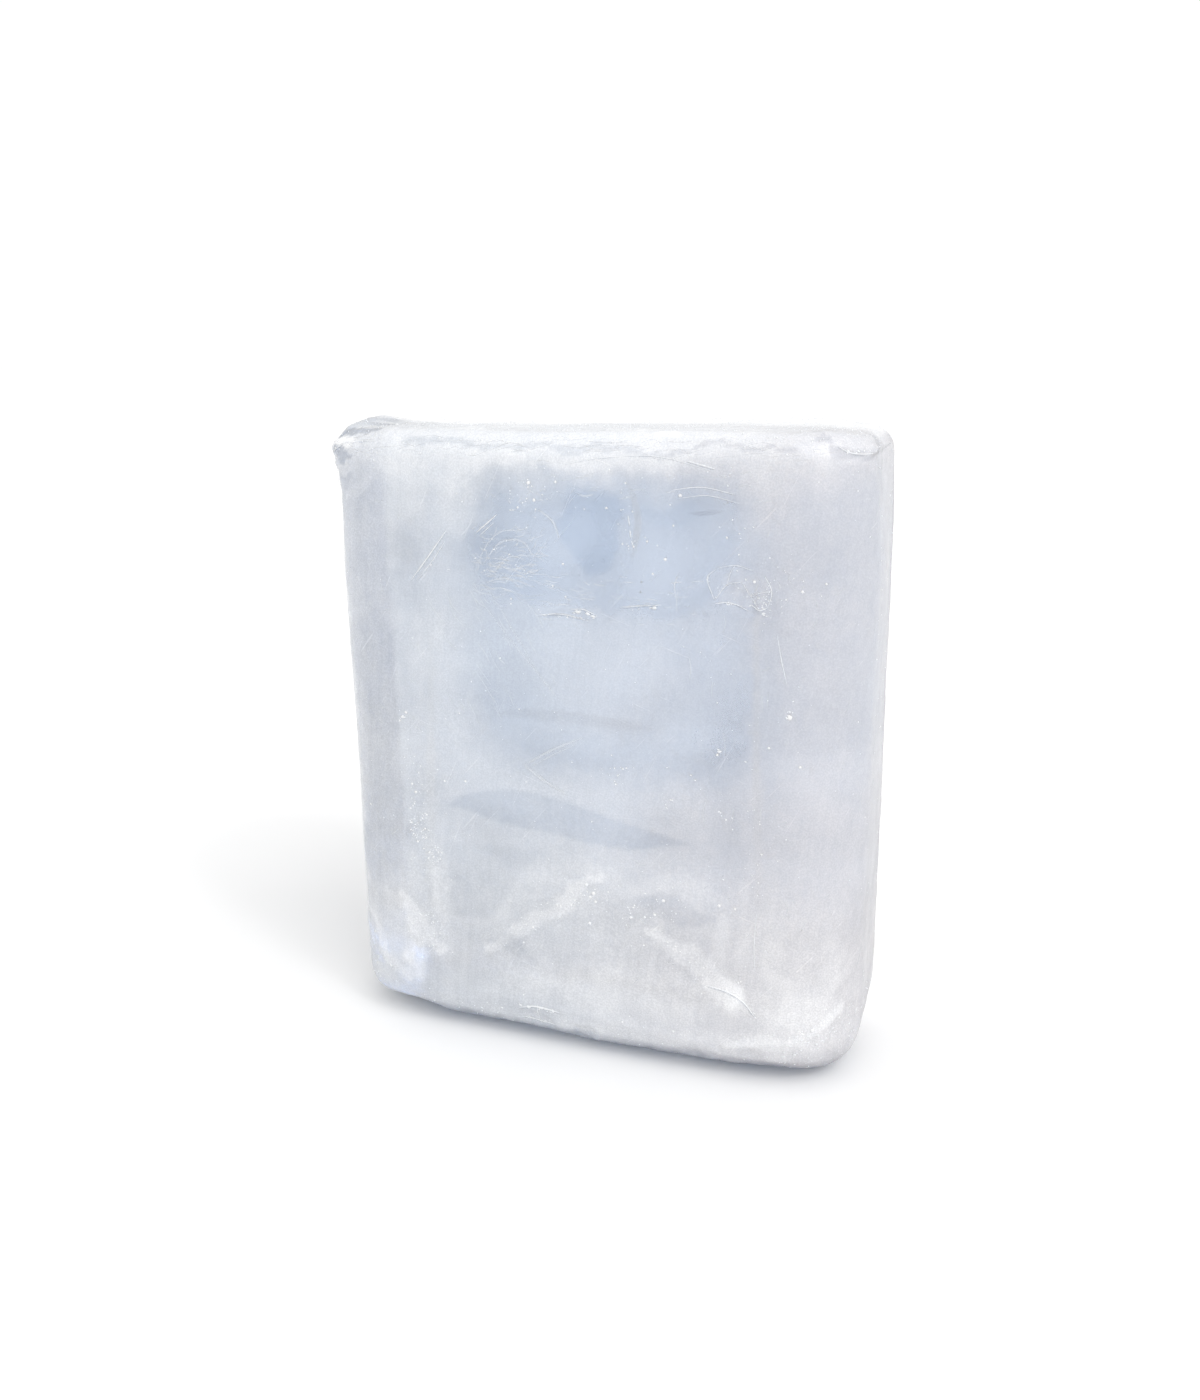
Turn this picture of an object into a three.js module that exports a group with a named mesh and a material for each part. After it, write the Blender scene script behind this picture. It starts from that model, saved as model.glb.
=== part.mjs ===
// Ten pound block of ice: one solid with rounded, slightly melted edges, standing on its flat foot.
// Millimetres, +Z up. The origin is the centre of the foot. The broad front face looks along -Y.
import * as THREE from "three";
import { mergeVertices } from "three/addons/utils/BufferGeometryUtils.js";

// Driving dimensions.
const WIDTH = 212; // along X, at the top
const THICKNESS = 97; // along Y, at the top
const HEIGHT = 248.5; // along Z
const FLARE = 3; // how much further out each wall stands at the foot than at the top
const CORNER_RADIUS = 32; // the four upright edges, seen from above
const TOP_RADIUS = 10; // the edge round the top
const FOOT_RADIUS = 20; // the edge round the foot, which has melted back the most

// How finely the surface is divided.
const CORNER_STEPS = 7; // steps round each upright edge
const BROAD_STEPS = 20; // steps across the front and the back
const NARROW_STEPS = 6; // steps across each end
const WALL_STEPS = 24; // steps up the straight part of the walls
const TOP_STEPS = 4; // steps round the top edge
const FOOT_STEPS = 6; // steps round the foot edge
const CAP_STEPS = 5; // rings from the rim of the top to its middle

// Swells and hollows that melting and handling have left. Each one moves the surface along its
// normal by at most `rise` millimetres, fading over `reach` millimetres from its place.
const SWELLS = [
  { name: "upper left lip", at: [-104, -34, 240], reach: 10, rise: 1.4 },
  { name: "back of the lip", at: [-100, -2, 246], reach: 14, rise: 2.4 },
  { name: "saddle beside the lip", at: [-74, 14, 248], reach: 20, rise: -2.2 },
  { name: "neck under the lip", at: [-106, -24, 224], reach: 13, rise: -1.0 },
  { name: "upper right chip", at: [103, -6, 240], reach: 20, rise: -2.2 },
  { name: "upper right corner", at: [98, 26, 246], reach: 12, rise: -1.4 },
  { name: "top hollow", at: [14, 20, 248], reach: 44, rise: -1.2 },
  { name: "lower left melt", at: [-80, -42, 4], reach: 13, rise: -2.8 },
  { name: "lower left heel", at: [-97, -38, 10], reach: 8, rise: 1.2 },
  { name: "lower right melt", at: [80, -46, 6], reach: 14, rise: -2.0 },
  { name: "lower right heel", at: [103, -32, 9], reach: 9, rise: 1.4 },
  { name: "foot swell", at: [6, -40, 4], reach: 22, rise: 0.9 },
  { name: "left end hollow", at: [-106, -28, 110], reach: 26, rise: -0.6 },
  { name: "front crown", at: [8, -49, 120], reach: 80, rise: 0.8 },
  { name: "back hollow", at: [-14, 49, 150], reach: 70, rise: -1.2 },
  { name: "back lower melt", at: [60, 46, 18], reach: 36, rise: -2.0 },
];

// Slow waves over the whole surface, in millimetres and in turns per millimetre.
const WAVE_HEIGHT = 0.2;
const WAVE_PITCH = [0.009, 0.013, 0.006];

// The share of its height above the foot that a melted point keeps at least.
const LEAST_CLEARANCE = 0.15;

/** The outline at one height, cut back by `inset`, as points with their outward directions. */
function outline(inset, z) {
  const flare = FLARE * (1 - z / HEIGHT);
  const halfX = WIDTH / 2 + flare - CORNER_RADIUS;
  const halfY = THICKNESS / 2 + flare - CORNER_RADIUS;
  const radius = CORNER_RADIUS - inset;
  const corners = [
    { x: halfX, y: -halfY, start: -Math.PI / 2, steps: NARROW_STEPS },
    { x: halfX, y: halfY, start: 0, steps: BROAD_STEPS },
    { x: -halfX, y: halfY, start: Math.PI / 2, steps: NARROW_STEPS },
    { x: -halfX, y: -halfY, start: Math.PI, steps: BROAD_STEPS },
  ];
  const points = [];
  corners.forEach((corner, i) => {
    for (let k = 0; k <= CORNER_STEPS; k++) {
      const angle = corner.start + (k / CORNER_STEPS) * (Math.PI / 2);
      const out = new THREE.Vector2(Math.cos(angle), Math.sin(angle));
      points.push({ at: new THREE.Vector2(corner.x, corner.y).addScaledVector(out, radius), out });
    }
    // The straight side from the end of this corner to the start of the next one.
    const from = points[points.length - 1];
    const next = corners[(i + 1) % corners.length];
    const to = new THREE.Vector2(next.x, next.y).addScaledVector(from.out, radius);
    for (let k = 1; k < corner.steps; k++) {
      points.push({ at: from.at.clone().lerp(to, k / corner.steps), out: from.out });
    }
  });
  return points;
}

/** The rings from the foot to the top: how far each is cut back, its height, slope and share of width. */
function levels() {
  const rings = [{ inset: FOOT_RADIUS, z: 0, slope: -1, share: 1 }];
  for (let k = 1; k <= FOOT_STEPS; k++) {
    const angle = (k / FOOT_STEPS) * (Math.PI / 2);
    rings.push({
      inset: FOOT_RADIUS * (1 - Math.sin(angle)),
      z: FOOT_RADIUS * (1 - Math.cos(angle)),
      slope: -Math.cos(angle),
      share: 1,
    });
  }
  for (let k = 1; k <= WALL_STEPS; k++) {
    const z = FOOT_RADIUS + (k / WALL_STEPS) * (HEIGHT - TOP_RADIUS - FOOT_RADIUS);
    rings.push({ inset: 0, z, slope: 0, share: 1 });
  }
  for (let k = 1; k <= TOP_STEPS; k++) {
    const angle = (k / TOP_STEPS) * (Math.PI / 2);
    rings.push({
      inset: TOP_RADIUS * (1 - Math.cos(angle)),
      z: HEIGHT - TOP_RADIUS * (1 - Math.sin(angle)),
      slope: Math.sin(angle),
      share: 1,
    });
  }
  for (let k = CAP_STEPS - 1; k >= 1; k--) {
    rings.push({ inset: TOP_RADIUS, z: HEIGHT, slope: 1, share: k / CAP_STEPS });
  }
  return rings;
}

/** How far melting has moved the surface outwards at a point. */
function melt(point) {
  const [a, b, c] = WAVE_PITCH.map((pitch, i) => 2 * Math.PI * pitch * point.getComponent(i));
  let rise = WAVE_HEIGHT * (Math.sin(a + 2 * c) + Math.sin(b + c + 1) * Math.cos(a - c));
  for (const swell of SWELLS) {
    const gap = point.distanceTo(new THREE.Vector3(...swell.at)) / swell.reach;
    rise += swell.rise * Math.exp(-gap * gap);
  }
  return rise;
}

/** A point of the surface moved by the melt. The foot stays flat, and nothing sinks below it. */
function melted(point, normal) {
  if (point.z === 0) return point;
  const moved = point.clone().addScaledVector(normal, melt(point));
  moved.z = Math.max(moved.z, LEAST_CLEARANCE * point.z);
  return moved;
}

/** The whole surface as one closed mesh: rings joined by faces, with a fan over each end. */
function iceGeometry() {
  const positions = [];
  const rings = levels().map(({ inset, z, slope, share }) =>
    outline(inset, z).map(({ at, out }) => {
      const level = Math.sqrt(1 - slope * slope);
      const normal = new THREE.Vector3(out.x * level, out.y * level, slope);
      return melted(new THREE.Vector3(at.x * share, at.y * share, z), normal);
    }),
  );
  const around = rings[0].length;
  const foot = new THREE.Vector3(0, 0, 0);
  const top = melted(new THREE.Vector3(0, 0, HEIGHT), new THREE.Vector3(0, 0, 1));
  const face = (...corners) => corners.forEach((p) => positions.push(p.x, p.y, p.z));
  for (let j = 0; j < around; j++) {
    const next = (j + 1) % around;
    face(foot, rings[0][next], rings[0][j]);
    face(top, rings[rings.length - 1][j], rings[rings.length - 1][next]);
    for (let i = 0; i + 1 < rings.length; i++) {
      const [low, high] = [rings[i], rings[i + 1]];
      face(low[j], low[next], high[next]);
      face(low[j], high[next], high[j]);
    }
  }
  const geometry = new THREE.BufferGeometry();
  geometry.setAttribute("position", new THREE.Float32BufferAttribute(positions, 3));
  return mergeVertices(geometry, 1e-3);
}

/** Puts the middle of the box round the solid over the origin, with the foot at height 0. */
function centred(geometry) {
  geometry.computeBoundingBox();
  const middle = geometry.boundingBox.getCenter(new THREE.Vector3());
  return geometry.translate(-middle.x, -middle.y, -geometry.boundingBox.min.z);
}

const ice = new THREE.MeshStandardMaterial({ color: 0xd3dbe6, roughness: 0.35, metalness: 0 });
ice.transparent = true;
ice.opacity = 0.8;

const block = new THREE.Mesh(centred(iceGeometry()), ice);
block.name = "ice_block";

const group = new THREE.Group();
group.add(block);

export default group;
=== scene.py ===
import math

import bmesh
import bpy
import numpy as np
from mathutils import Matrix, Vector, noise
from mathutils.bvhtree import BVHTree


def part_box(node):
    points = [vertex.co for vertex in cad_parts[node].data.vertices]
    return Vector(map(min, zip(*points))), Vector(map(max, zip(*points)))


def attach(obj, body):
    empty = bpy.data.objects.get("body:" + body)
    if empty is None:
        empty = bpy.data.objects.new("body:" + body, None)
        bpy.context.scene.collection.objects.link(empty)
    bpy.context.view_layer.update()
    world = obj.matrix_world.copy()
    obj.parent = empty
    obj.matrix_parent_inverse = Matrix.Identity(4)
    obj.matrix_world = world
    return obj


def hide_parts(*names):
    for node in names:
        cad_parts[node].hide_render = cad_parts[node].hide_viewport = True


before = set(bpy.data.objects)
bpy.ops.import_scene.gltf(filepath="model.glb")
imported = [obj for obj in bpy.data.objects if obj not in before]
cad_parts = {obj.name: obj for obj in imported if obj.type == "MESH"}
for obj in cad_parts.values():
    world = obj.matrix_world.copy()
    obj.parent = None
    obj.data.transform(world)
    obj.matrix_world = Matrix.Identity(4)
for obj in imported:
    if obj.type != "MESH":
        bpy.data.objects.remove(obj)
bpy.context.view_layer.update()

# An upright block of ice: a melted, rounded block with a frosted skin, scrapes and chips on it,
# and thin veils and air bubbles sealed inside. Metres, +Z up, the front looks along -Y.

MM = 0.001
LOW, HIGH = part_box("ice_block")
BODY, NODE, SLOT = "root", "ice_block", "ice"

# ---------------------------------------------------------------------------------------------
# The block's plain shape: that of the solid it stands for, more finely divided.

WIDTH = 212 * MM  # along X, at the top
THICKNESS = 97 * MM  # along Y, at the top
HEIGHT = 248.5 * MM
FLARE = 3 * MM  # how much further out each wall stands at the foot than at the top
CORNER_RADIUS = 32 * MM
TOP_RADIUS = 10 * MM
FOOT_RADIUS = 20 * MM

# Swells and hollows left by melting: place, reach and rise, in millimetres.
SWELLS = {
    "upper left lip": ((-104, -34, 240), 10, 1.4),
    "back of the lip": ((-100, -2, 246), 14, 2.4),
    "saddle beside the lip": ((-74, 14, 248), 20, -2.2),
    "neck under the lip": ((-106, -24, 224), 13, -1.0),
    "upper right chip": ((103, -6, 240), 20, -2.2),
    "upper right corner": ((98, 26, 246), 12, -1.4),
    "top hollow": ((14, 20, 248), 44, -1.2),
    "lower left melt": ((-80, -42, 4), 13, -2.8),
    "lower left heel": ((-97, -38, 10), 8, 1.2),
    "lower right melt": ((80, -46, 6), 14, -2.0),
    "lower right heel": ((103, -32, 9), 9, 1.4),
    "foot swell": ((6, -40, 4), 22, 0.9),
    "left end hollow": ((-106, -28, 110), 26, -0.6),
    "front crown": ((8, -49, 120), 80, 0.8),
    "back hollow": ((-14, 49, 150), 70, -1.2),
    "back lower melt": ((60, 46, 18), 36, -2.0),
}
WAVE_HEIGHT = 0.2 * MM
WAVE_PITCH = (9.0, 13.0, 6.0)  # turns per metre

# How finely the surface is divided, round the outline and from the foot to the top.
FRONT_STEPS, FRONT_CORNER_STEPS, END_STEPS, BACK_CORNER_STEPS, BACK_STEPS = 130, 34, 14, 18, 60
WALL_STEPS, FOOT_STEPS, TOP_STEPS, CAP_STEPS = 176, 20, 12, 16


def outline_steps():
    """The points of the outline: which corner centres each hangs on, and the way it faces."""
    anchors, outs = [], []
    corners = [
        ((1, -1), -90, FRONT_CORNER_STEPS, END_STEPS),
        ((1, 1), 0, BACK_CORNER_STEPS, BACK_STEPS),
        ((-1, 1), 90, BACK_CORNER_STEPS, END_STEPS),
        ((-1, -1), 180, FRONT_CORNER_STEPS, FRONT_STEPS),
    ]
    for i, (corner, start, turn_steps, side_steps) in enumerate(corners):
        following = corners[(i + 1) % 4][0]
        for k in range(turn_steps + 1):
            angle = math.radians(start + 90 * k / turn_steps)
            anchors.append(corner)
            outs.append((math.cos(angle), math.sin(angle)))
        for k in range(1, side_steps):
            share = k / side_steps
            anchors.append([a + (b - a) * share for a, b in zip(corner, following)])
            outs.append(outs[-1])
    return np.array(anchors, float), np.array(outs, float)


def ring_steps():
    """Each ring from the foot's middle to the top's: cut back, height, slope, share of width."""
    rings = [(FOOT_RADIUS, 0, -1, k / CAP_STEPS) for k in range(1, CAP_STEPS + 1)]
    for k in range(1, FOOT_STEPS + 1):
        a = math.pi / 2 * k / FOOT_STEPS
        cut, height = FOOT_RADIUS * (1 - math.sin(a)), FOOT_RADIUS * (1 - math.cos(a))
        rings.append((cut, height, -math.cos(a), 1))
    wall = HEIGHT - TOP_RADIUS - FOOT_RADIUS
    rings += [(0, FOOT_RADIUS + wall * k / WALL_STEPS, 0, 1) for k in range(1, WALL_STEPS + 1)]
    for k in range(1, TOP_STEPS + 1):
        a = math.pi / 2 * k / TOP_STEPS
        cut, drop = TOP_RADIUS * (1 - math.cos(a)), TOP_RADIUS * (1 - math.sin(a))
        rings.append((cut, HEIGHT - drop, math.sin(a), 1))
    rings += [(TOP_RADIUS, HEIGHT, 1, k / CAP_STEPS) for k in range(CAP_STEPS - 1, 0, -1)]
    return np.array(rings, float)


def melt(points):
    """How far melting has moved the surface outwards at each point."""
    a, b, c = (2 * math.pi * pitch * points[..., i] for i, pitch in enumerate(WAVE_PITCH))
    rise = WAVE_HEIGHT * (np.sin(a + 2 * c) + np.sin(b + c + 1) * np.cos(a - c))
    for place, reach, height in SWELLS.values():
        gap = np.linalg.norm(points - np.array(place) * MM, axis=-1) / (reach * MM)
        rise += height * MM * np.exp(-gap * gap)
    return rise


def lumps(points, size, shift=0.0):
    """Smooth random heights from about -1 to 1, in lumps of about this size."""
    flat = (points / size + shift).reshape(-1, 3).tolist()
    return np.array([noise.noise(p) for p in flat]).reshape(points.shape[:-1]) * 1.6


def layered_lumps(points, layers):
    """Lumps of several sizes together; each layer: how much it adds, its size in mm, its shift."""
    return sum(share * lumps(points, size * MM, shift) for share, size, shift in layers)


# ---------------------------------------------------------------------------------------------
# Marks on the skin. Places on the front are shares: across from -1 at the left to 1 at the
# right, up from 0 at the foot to 1 at the top.

# Shell-shaped chips: across, up, half width and half height in mm, turn in degrees, depth in mm.
CHIPS = {
    "under the right flake": (1.0, 0.945, 7, 9, 0, 0.9),
    "upper left facet": (-0.80, 0.985, 14, 6, 14, 1.1),
    "left edge notch": (-0.985, 0.905, 6, 3.5, 20, 0.9),
    "left edge notch below": (-0.99, 0.885, 5, 2.5, 10, 0.7),
    "pecked patch left": (0.50, 0.795, 7, 5, 20, 0.8),
    "pecked patch middle": (0.57, 0.77, 8, 5, -15, 1.0),
    "pecked patch right": (0.65, 0.765, 5, 6, 60, 0.8),
    "gash": (0.0, 0.733, 9.5, 1.8, 4, 1.3),
    "gash end": (0.055, 0.729, 3.5, 1.4, -6, 0.9),
    "short gash": (0.265, 0.751, 5.5, 1.7, 3, 1.1),
    "foot notch": (0.02, 0.035, 6, 5, 30, 1.2),
    "foot notch left": (-0.17, 0.05, 10, 4, -8, 0.9),
    "heel flake": (0.72, 0.06, 12, 5, 15, 1.0),
    "left knot": (-0.620, 0.362, 4.5, 3.5, 25, 0.7),
    "left knot below": (-0.560, 0.316, 3.5, 4.5, 10, 0.7),
    "heel flake low": (0.45, 0.035, 9, 4, 5, 0.8),
}

# Low folds and ridges: the line each follows as (across, up, half width in mm), and how high in mm.
RIDGES = {
    "corner fold": ([(-1.0, 0.945, 1.5), (-0.93, 0.962, 1.8), (-0.80, 0.972, 1.4)], 1.0),
    "corner fold below": ([(-1.0, 0.925, 1.3), (-0.92, 0.938, 1.5), (-0.83, 0.944, 1.2)], 0.7),
    "corner fold above": ([(-0.97, 0.985, 1.4), (-0.84, 0.995, 1.6), (-0.66, 0.996, 1.2)], 0.8),
    "left wrinkle": ([(-1.02, 0.918, 1.3), (-0.95, 0.902, 1.3)], 0.9),
    "left wrinkle below": ([(-1.02, 0.893, 1.2), (-0.96, 0.878, 1.2)], 0.7),
    "top ridge": ([(-0.70, 0.986, 1.5), (-0.2, 0.981, 1.6), (0.3, 0.984, 1.5), (0.8, 0.978, 1.4)], 0.35),
    "top ridge below": ([(-0.55, 0.965, 1.3), (0.0, 0.960, 1.5), (0.45, 0.966, 1.3)], 0.22),
    "heel ridge": ([(0.56, 0.062, 1.6), (0.70, 0.074, 2.0), (0.84, 0.10, 2.0), (0.97, 0.135, 1.6)], 0.45),
    "left heel ridge": ([(-0.97, 0.16, 1.5), (-0.86, 0.115, 1.8), (-0.72, 0.078, 1.6)], 0.45),
    "foot ridge": ([(-0.40, 0.082, 1.5), (-0.1, 0.078, 1.8), (0.2, 0.070, 1.6), (0.5, 0.060, 1.4)], 0.35),
    "crescent": ([(0.47, 0.166, 1.3), (0.56, 0.160, 1.5), (0.66, 0.130, 1.3)], 0.4),
    "right corner fold": (
        [(0.80, 0.990, 1.1), (0.87, 0.974, 1.3), (0.94, 0.966, 1.3), (1.03, 0.970, 1.2)],
        0.6),
    "right corner crease": (
        [(0.84, 0.972, 1.0), (0.90, 0.961, 1.2), (0.96, 0.956, 1.2), (1.03, 0.958, 1.2)],
        -0.5),
    "right corner fold above": ([(0.72, 0.997, 1.1), (0.86, 0.988, 1.2), (0.99, 0.984, 1.1)], 0.45),
    "right nick": ([(0.985, 0.915, 0.9), (1.03, 0.908, 1.1)], -0.8),
    "right nick below": ([(0.99, 0.80, 0.8), (1.03, 0.795, 1.0)], -0.7),
}


# The skin's own unevenness, all over and along the edges, in layers as lumps takes them, in mm.
SKIN_LUMPS = ((0.10, 9, 0), (0.05, 3.5, 7))
EDGE_LUMPS = ((0.34, 6, 11), (0.16, 2.4, 29))
EDGE_REACH = 9 * MM
CHIP_RAGGEDNESS = 0.22
CHIP_RIM = 0.25  # how high the lip round a chip stands, as a share of its depth


def on_front(points):
    """1 on the front half of the block, fading to 0 behind it."""
    return np.clip((0.1 - points[..., 1] / HIGH.y) / 0.3, 0, 1)


def on_back(points):
    """1 on the back half of the block, fading to 0 in front of it."""
    return np.clip((points[..., 1] / HIGH.y - 0.1) / 0.3, 0, 1)


def oval(points, across, up, half_width, half_height, turn=0.0, power=2):
    """How far each point is from an oval's middle, 1 at its rim. Half sizes are in mm.

    A greater power gives an oblong with rounded corners.
    """
    x = points[..., 0] - across * HIGH.x
    z = points[..., 2] - up * HIGH.z
    c, s = math.cos(math.radians(turn)), math.sin(math.radians(turn))
    beside = abs(c * x + s * z) / (half_width * MM)
    above = abs(c * z - s * x) / (half_height * MM)
    return (beside ** power + above ** power) ** (1 / power)


def along_line(x, z, line):
    """How far each place is from a line of places with half widths, 1 at its rim."""
    nearest = np.full(x.shape, np.inf)
    for (x0, z0, w0), (x1, z1, w1) in zip(line, line[1:]):
        run = (x1 - x0) ** 2 + (z1 - z0) ** 2
        t = np.clip(((x - x0) * (x1 - x0) + (z - z0) * (z1 - z0)) / run, 0, 1)
        gap = np.hypot(x - x0 - t * (x1 - x0), z - z0 - t * (z1 - z0))
        nearest = np.minimum(nearest, gap / (w0 + t * (w1 - w0)))
    return nearest


def front_places(line):
    """The line's places and widths in metres."""
    return [(across * HIGH.x, up * HIGH.z, half * MM) for across, up, half in line]


def patch_place(across, up, turn, offset):
    """A place on the front, off a patch's middle along and across the patch's own turn."""
    c, s = math.cos(math.radians(turn)), math.sin(math.radians(turn))
    return across * HIGH.x + c * offset[0] - s * offset[1], up * HIGH.z + s * offset[0] + c * offset[1]


def carving(points):
    """How far chips, pits and the fine unevenness of the melt move the surface outwards."""
    rise = MM * layered_lumps(points, SKIN_LUMPS)
    front = on_front(points)
    warp = CHIP_RAGGEDNESS * lumps(points, 5 * MM, 3)
    for across, up, half_width, half_height, turn, depth in CHIPS.values():
        r = oval(points, across, up, half_width, half_height, turn) + warp
        bowl = np.clip(1 - r * r, 0, 1) * (1 + 0.25 * np.cos(9 * r))
        rim = CHIP_RIM * np.exp(-((r - 1.08) / 0.1) ** 2)
        rise += front * depth * MM * (rim - bowl)
    for line, height in RIDGES.values():
        r = along_line(points[..., 0], points[..., 2], front_places(line))
        rise += front * height * MM * np.exp(-(r + 0.5 * warp) ** 2)
    edge = np.exp(-((edge_gap(points) / EDGE_REACH) ** 2))
    return rise + MM * edge * layered_lumps(points, EDGE_LUMPS)


def edge_gap(points):
    """How far each surface point is from the nearest edge of the block."""
    gaps = [
        HIGH.x - abs(points[..., 0]),
        HIGH.y - abs(points[..., 1]),
        np.minimum(points[..., 2], HIGH.z - points[..., 2]),
    ]
    return np.sort(np.stack(gaps, axis=-1), axis=-1)[..., 1]


def block_grid():
    """The block's finished surface as a grid of points, ring by ring from the foot's middle."""
    anchors, outs = outline_steps()
    inset, z, slope, share = (column[:, None] for column in ring_steps().T)
    flare = FLARE * (1 - z / HEIGHT)
    half = [side / 2 + flare - CORNER_RADIUS for side in (WIDTH, THICKNESS)]
    flat = [share * (anchors[:, i] * half[i] + outs[:, i] * (CORNER_RADIUS - inset)) for i in (0, 1)]
    height = z + 0 * flat[0]
    level = np.sqrt(1 - slope * slope)
    normal = np.stack([outs[:, 0] * level, outs[:, 1] * level, slope + 0 * flat[0]], axis=-1)
    points = np.stack([flat[0], flat[1], height], axis=-1)
    raised = points + normal * (melt(points) + carving(points))[..., None]
    # The underside stays flat on the floor, and nothing near it dips below.
    raised[..., 2] = np.where(z == 0, 0, np.maximum(raised[..., 2], 0.15 * height))
    return raised


def facing(grid):
    """The outward direction of each point of a grid of rings."""
    along = np.roll(grid, -1, axis=1) - np.roll(grid, 1, axis=1)
    upward = np.gradient(grid, axis=0)
    normal = np.cross(along, upward)
    return normal / np.maximum(np.linalg.norm(normal, axis=-1, keepdims=True), 1e-12)


def grid_faces(rings, around):
    """Quads between the rings, and a fan round each end's middle point."""
    faces = []
    for i in range(rings - 1):
        low, high = i * around, (i + 1) * around
        for j in range(around):
            k = (j + 1) % around
            faces.append((low + j, low + k, high + k, high + j))
    foot, top, last = rings * around, rings * around + 1, (rings - 1) * around
    for j in range(around):
        k = (j + 1) % around
        faces.append((foot, k, j))
        faces.append((top, last + j, last + k))
    return faces


def grid_mesh(name, grid, marks):
    """A closed mesh from a grid of rings, with a value per point for each named mark."""
    rings, around, _ = grid.shape
    ends = [grid[0].mean(axis=0), grid[-1].mean(axis=0)]
    mesh = bpy.data.meshes.new(name)
    mesh.from_pydata(np.vstack([grid.reshape(-1, 3), ends]).tolist(), [], grid_faces(rings, around))
    mesh.shade_smooth()
    for mark, values in marks.items():
        values = np.append(values.reshape(-1), [values[0].mean(), values[-1].mean()])
        mesh.attributes.new(mark, "FLOAT", "POINT").data.foreach_set("value", values.astype(np.float32))
    return mesh


# ---------------------------------------------------------------------------------------------
# How frosted the skin is: the frost before any patch, then what each patch adds or takes away. Some
# patches and bands paint shade, highlights or images of edges into it.

PLAIN_FROST, FRONT_FROST = 0.40, 0.59  # away from the front, and on it
# The top's extra frost is partly real rime and partly painted light from above.
EDGE_FROST, OUTER_FROST, TOP_FROST_AND_LIGHT = 0.18, 0.18, 0.50  # more along edges, far out, and on the top
SIDE_CLOUDS = 0.09  # how much clouds change it away from the front
LEAST_FROST, MOST_FROST = 0.04, 0.97
FROST_LUMPS = ((0.014, 22, 13), (0.008, 9, 19))
RAGGED_RIMS = ((2.6, 14, (1, 2, 4)), (1.2, 4.5, (6, 8, 9)))  # reach and size in mm, three shifts

# Each patch: across, up, half width and half height in mm, turn in degrees, how soft its rim is
# (1 fades from half way out), and how much frost it adds. The fields are oblong.
FROST_FIELDS = {
    "clear field": (0.15, 0.712, 58, 55, 0, 0.34, -0.23),
    "clear window": (0.12, 0.845, 49, 24, 0, 0.20, -0.13),
    "right foot": (0.80, 0.24, 15, 32, 0, 0.6, 0.02),
}
FROST_AND_LIGHT_PATCHES = {
    "clearest disc": (0.08, 0.862, 13, 15, 10, 0.30, -0.16),
    "clear streak": (0.40, 0.888, 22, 4, 3, 0.4, -0.06),
    "window right corner": (0.58, 0.90, 14, 9, 0, 1.0, 0.09),
    "window left corner": (-0.36, 0.89, 10, 10, 0, 1.0, 0.08),
    "clear left arm": (-0.25, 0.80, 16, 16, -10, 0.4, -0.05),
    "milky middle": (0.12, 0.64, 28, 22, 0, 0.9, 0.09),
    "milky shoulder": (-0.04, 0.93, 20, 6, 12, 0.8, 0.06),
    "clear right column": (0.60, 0.50, 12, 40, -3, 0.7, -0.05),
    # Painted images of the block's back edges seen through the ice:
    "left back edge image": (-0.57, 0.46, 4, 80, 2.5, 0.8, 0.04),
    "right back edge image": (0.64, 0.55, 2.2, 70, -1.5, 0.8, 0.05),
    "right band": (0.84, 0.55, 16, 76, 0, 0.8, -0.08),
    "right edge": (1.02, 0.62, 10, 110, 0, 1.0, -0.08),
    "left shoulder": (-0.86, 0.94, 22, 12, 10, 0.8, -0.03),
    "left rim": (-0.95, 0.985, 12, 6, 0, 0.9, -0.16),
    "left edge": (-0.97, 0.55, 7, 100, 0, 1.0, 0.12),
    "upper left field": (-0.53, 0.79, 16, 18, 0, 1.0, -0.12),
    "left column": (-0.65, 0.67, 6, 26, 0, 1.0, -0.07),
    "left shoulder patch": (-0.80, 0.905, 8, 3.5, 32, 0.7, 0.07),
    "right shoulder": (0.92, 0.86, 20, 20, 0, 1.0, -0.08),
    # Painted shade under the overhang of the right flake:
    "under the right flake": (1.02, 0.950, 5, 4, 0, 0.7, -0.30),
    # The top rim and top edge are partly frost and partly painted light from above:
    "top rim": (0.0, 0.985, 116, 15, 0, 1.3, 0.20),
    "top edge": (0.0, 1.02, 116, 4.5, 0, 0.7, 0.16),
    "foot rim": (0.25, 0.03, 86, 12, 6, 0.8, 0.06),
    "right heel": (0.81, 0.08, 27, 18, 12, 0.9, 0.03),
    "left heel": (-0.86, 0.08, 16, 16, -20, 0.9, 0.0),
    "lower cloud": (0.0, 0.17, 118, 46, 3, 0.6, 0.10),
    "lower right cloud": (0.88, 0.42, 22, 28, 0, 1.0, 0.10),
    "lower right milk": (0.86, 0.18, 24, 30, 0, 1.0, 0.06),
    "small dark cloud": (0.37, 0.288, 15, 4.5, -8, 0.6, -0.10),
    "smaller dark cloud": (-0.26, 0.182, 8, 3.2, -6, 0.6, -0.07),
    "foot pale strip": (0.22, 0.135, 52, 10, 3, 0.9, 0.06),
    "foot clear strip": (-0.38, 0.095, 38, 8, -2, 0.9, -0.02),
    "left foot": (-0.68, 0.100, 12, 14, 0, 0.9, -0.04),
    "left foot speck": (-0.655, 0.128, 5, 9, 0, 0.9, 0.10),
    "left end foot": (-1.03, 0.10, 6, 24, 0, 0.6, 0.32),
    "pecked patch": (0.57, 0.785, 12, 6.5, -8, 0.2, 0.07),
    "pecked patch middle": (0.575, 0.782, 5, 3.5, 0, 0.4, 0.06),
}

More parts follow.
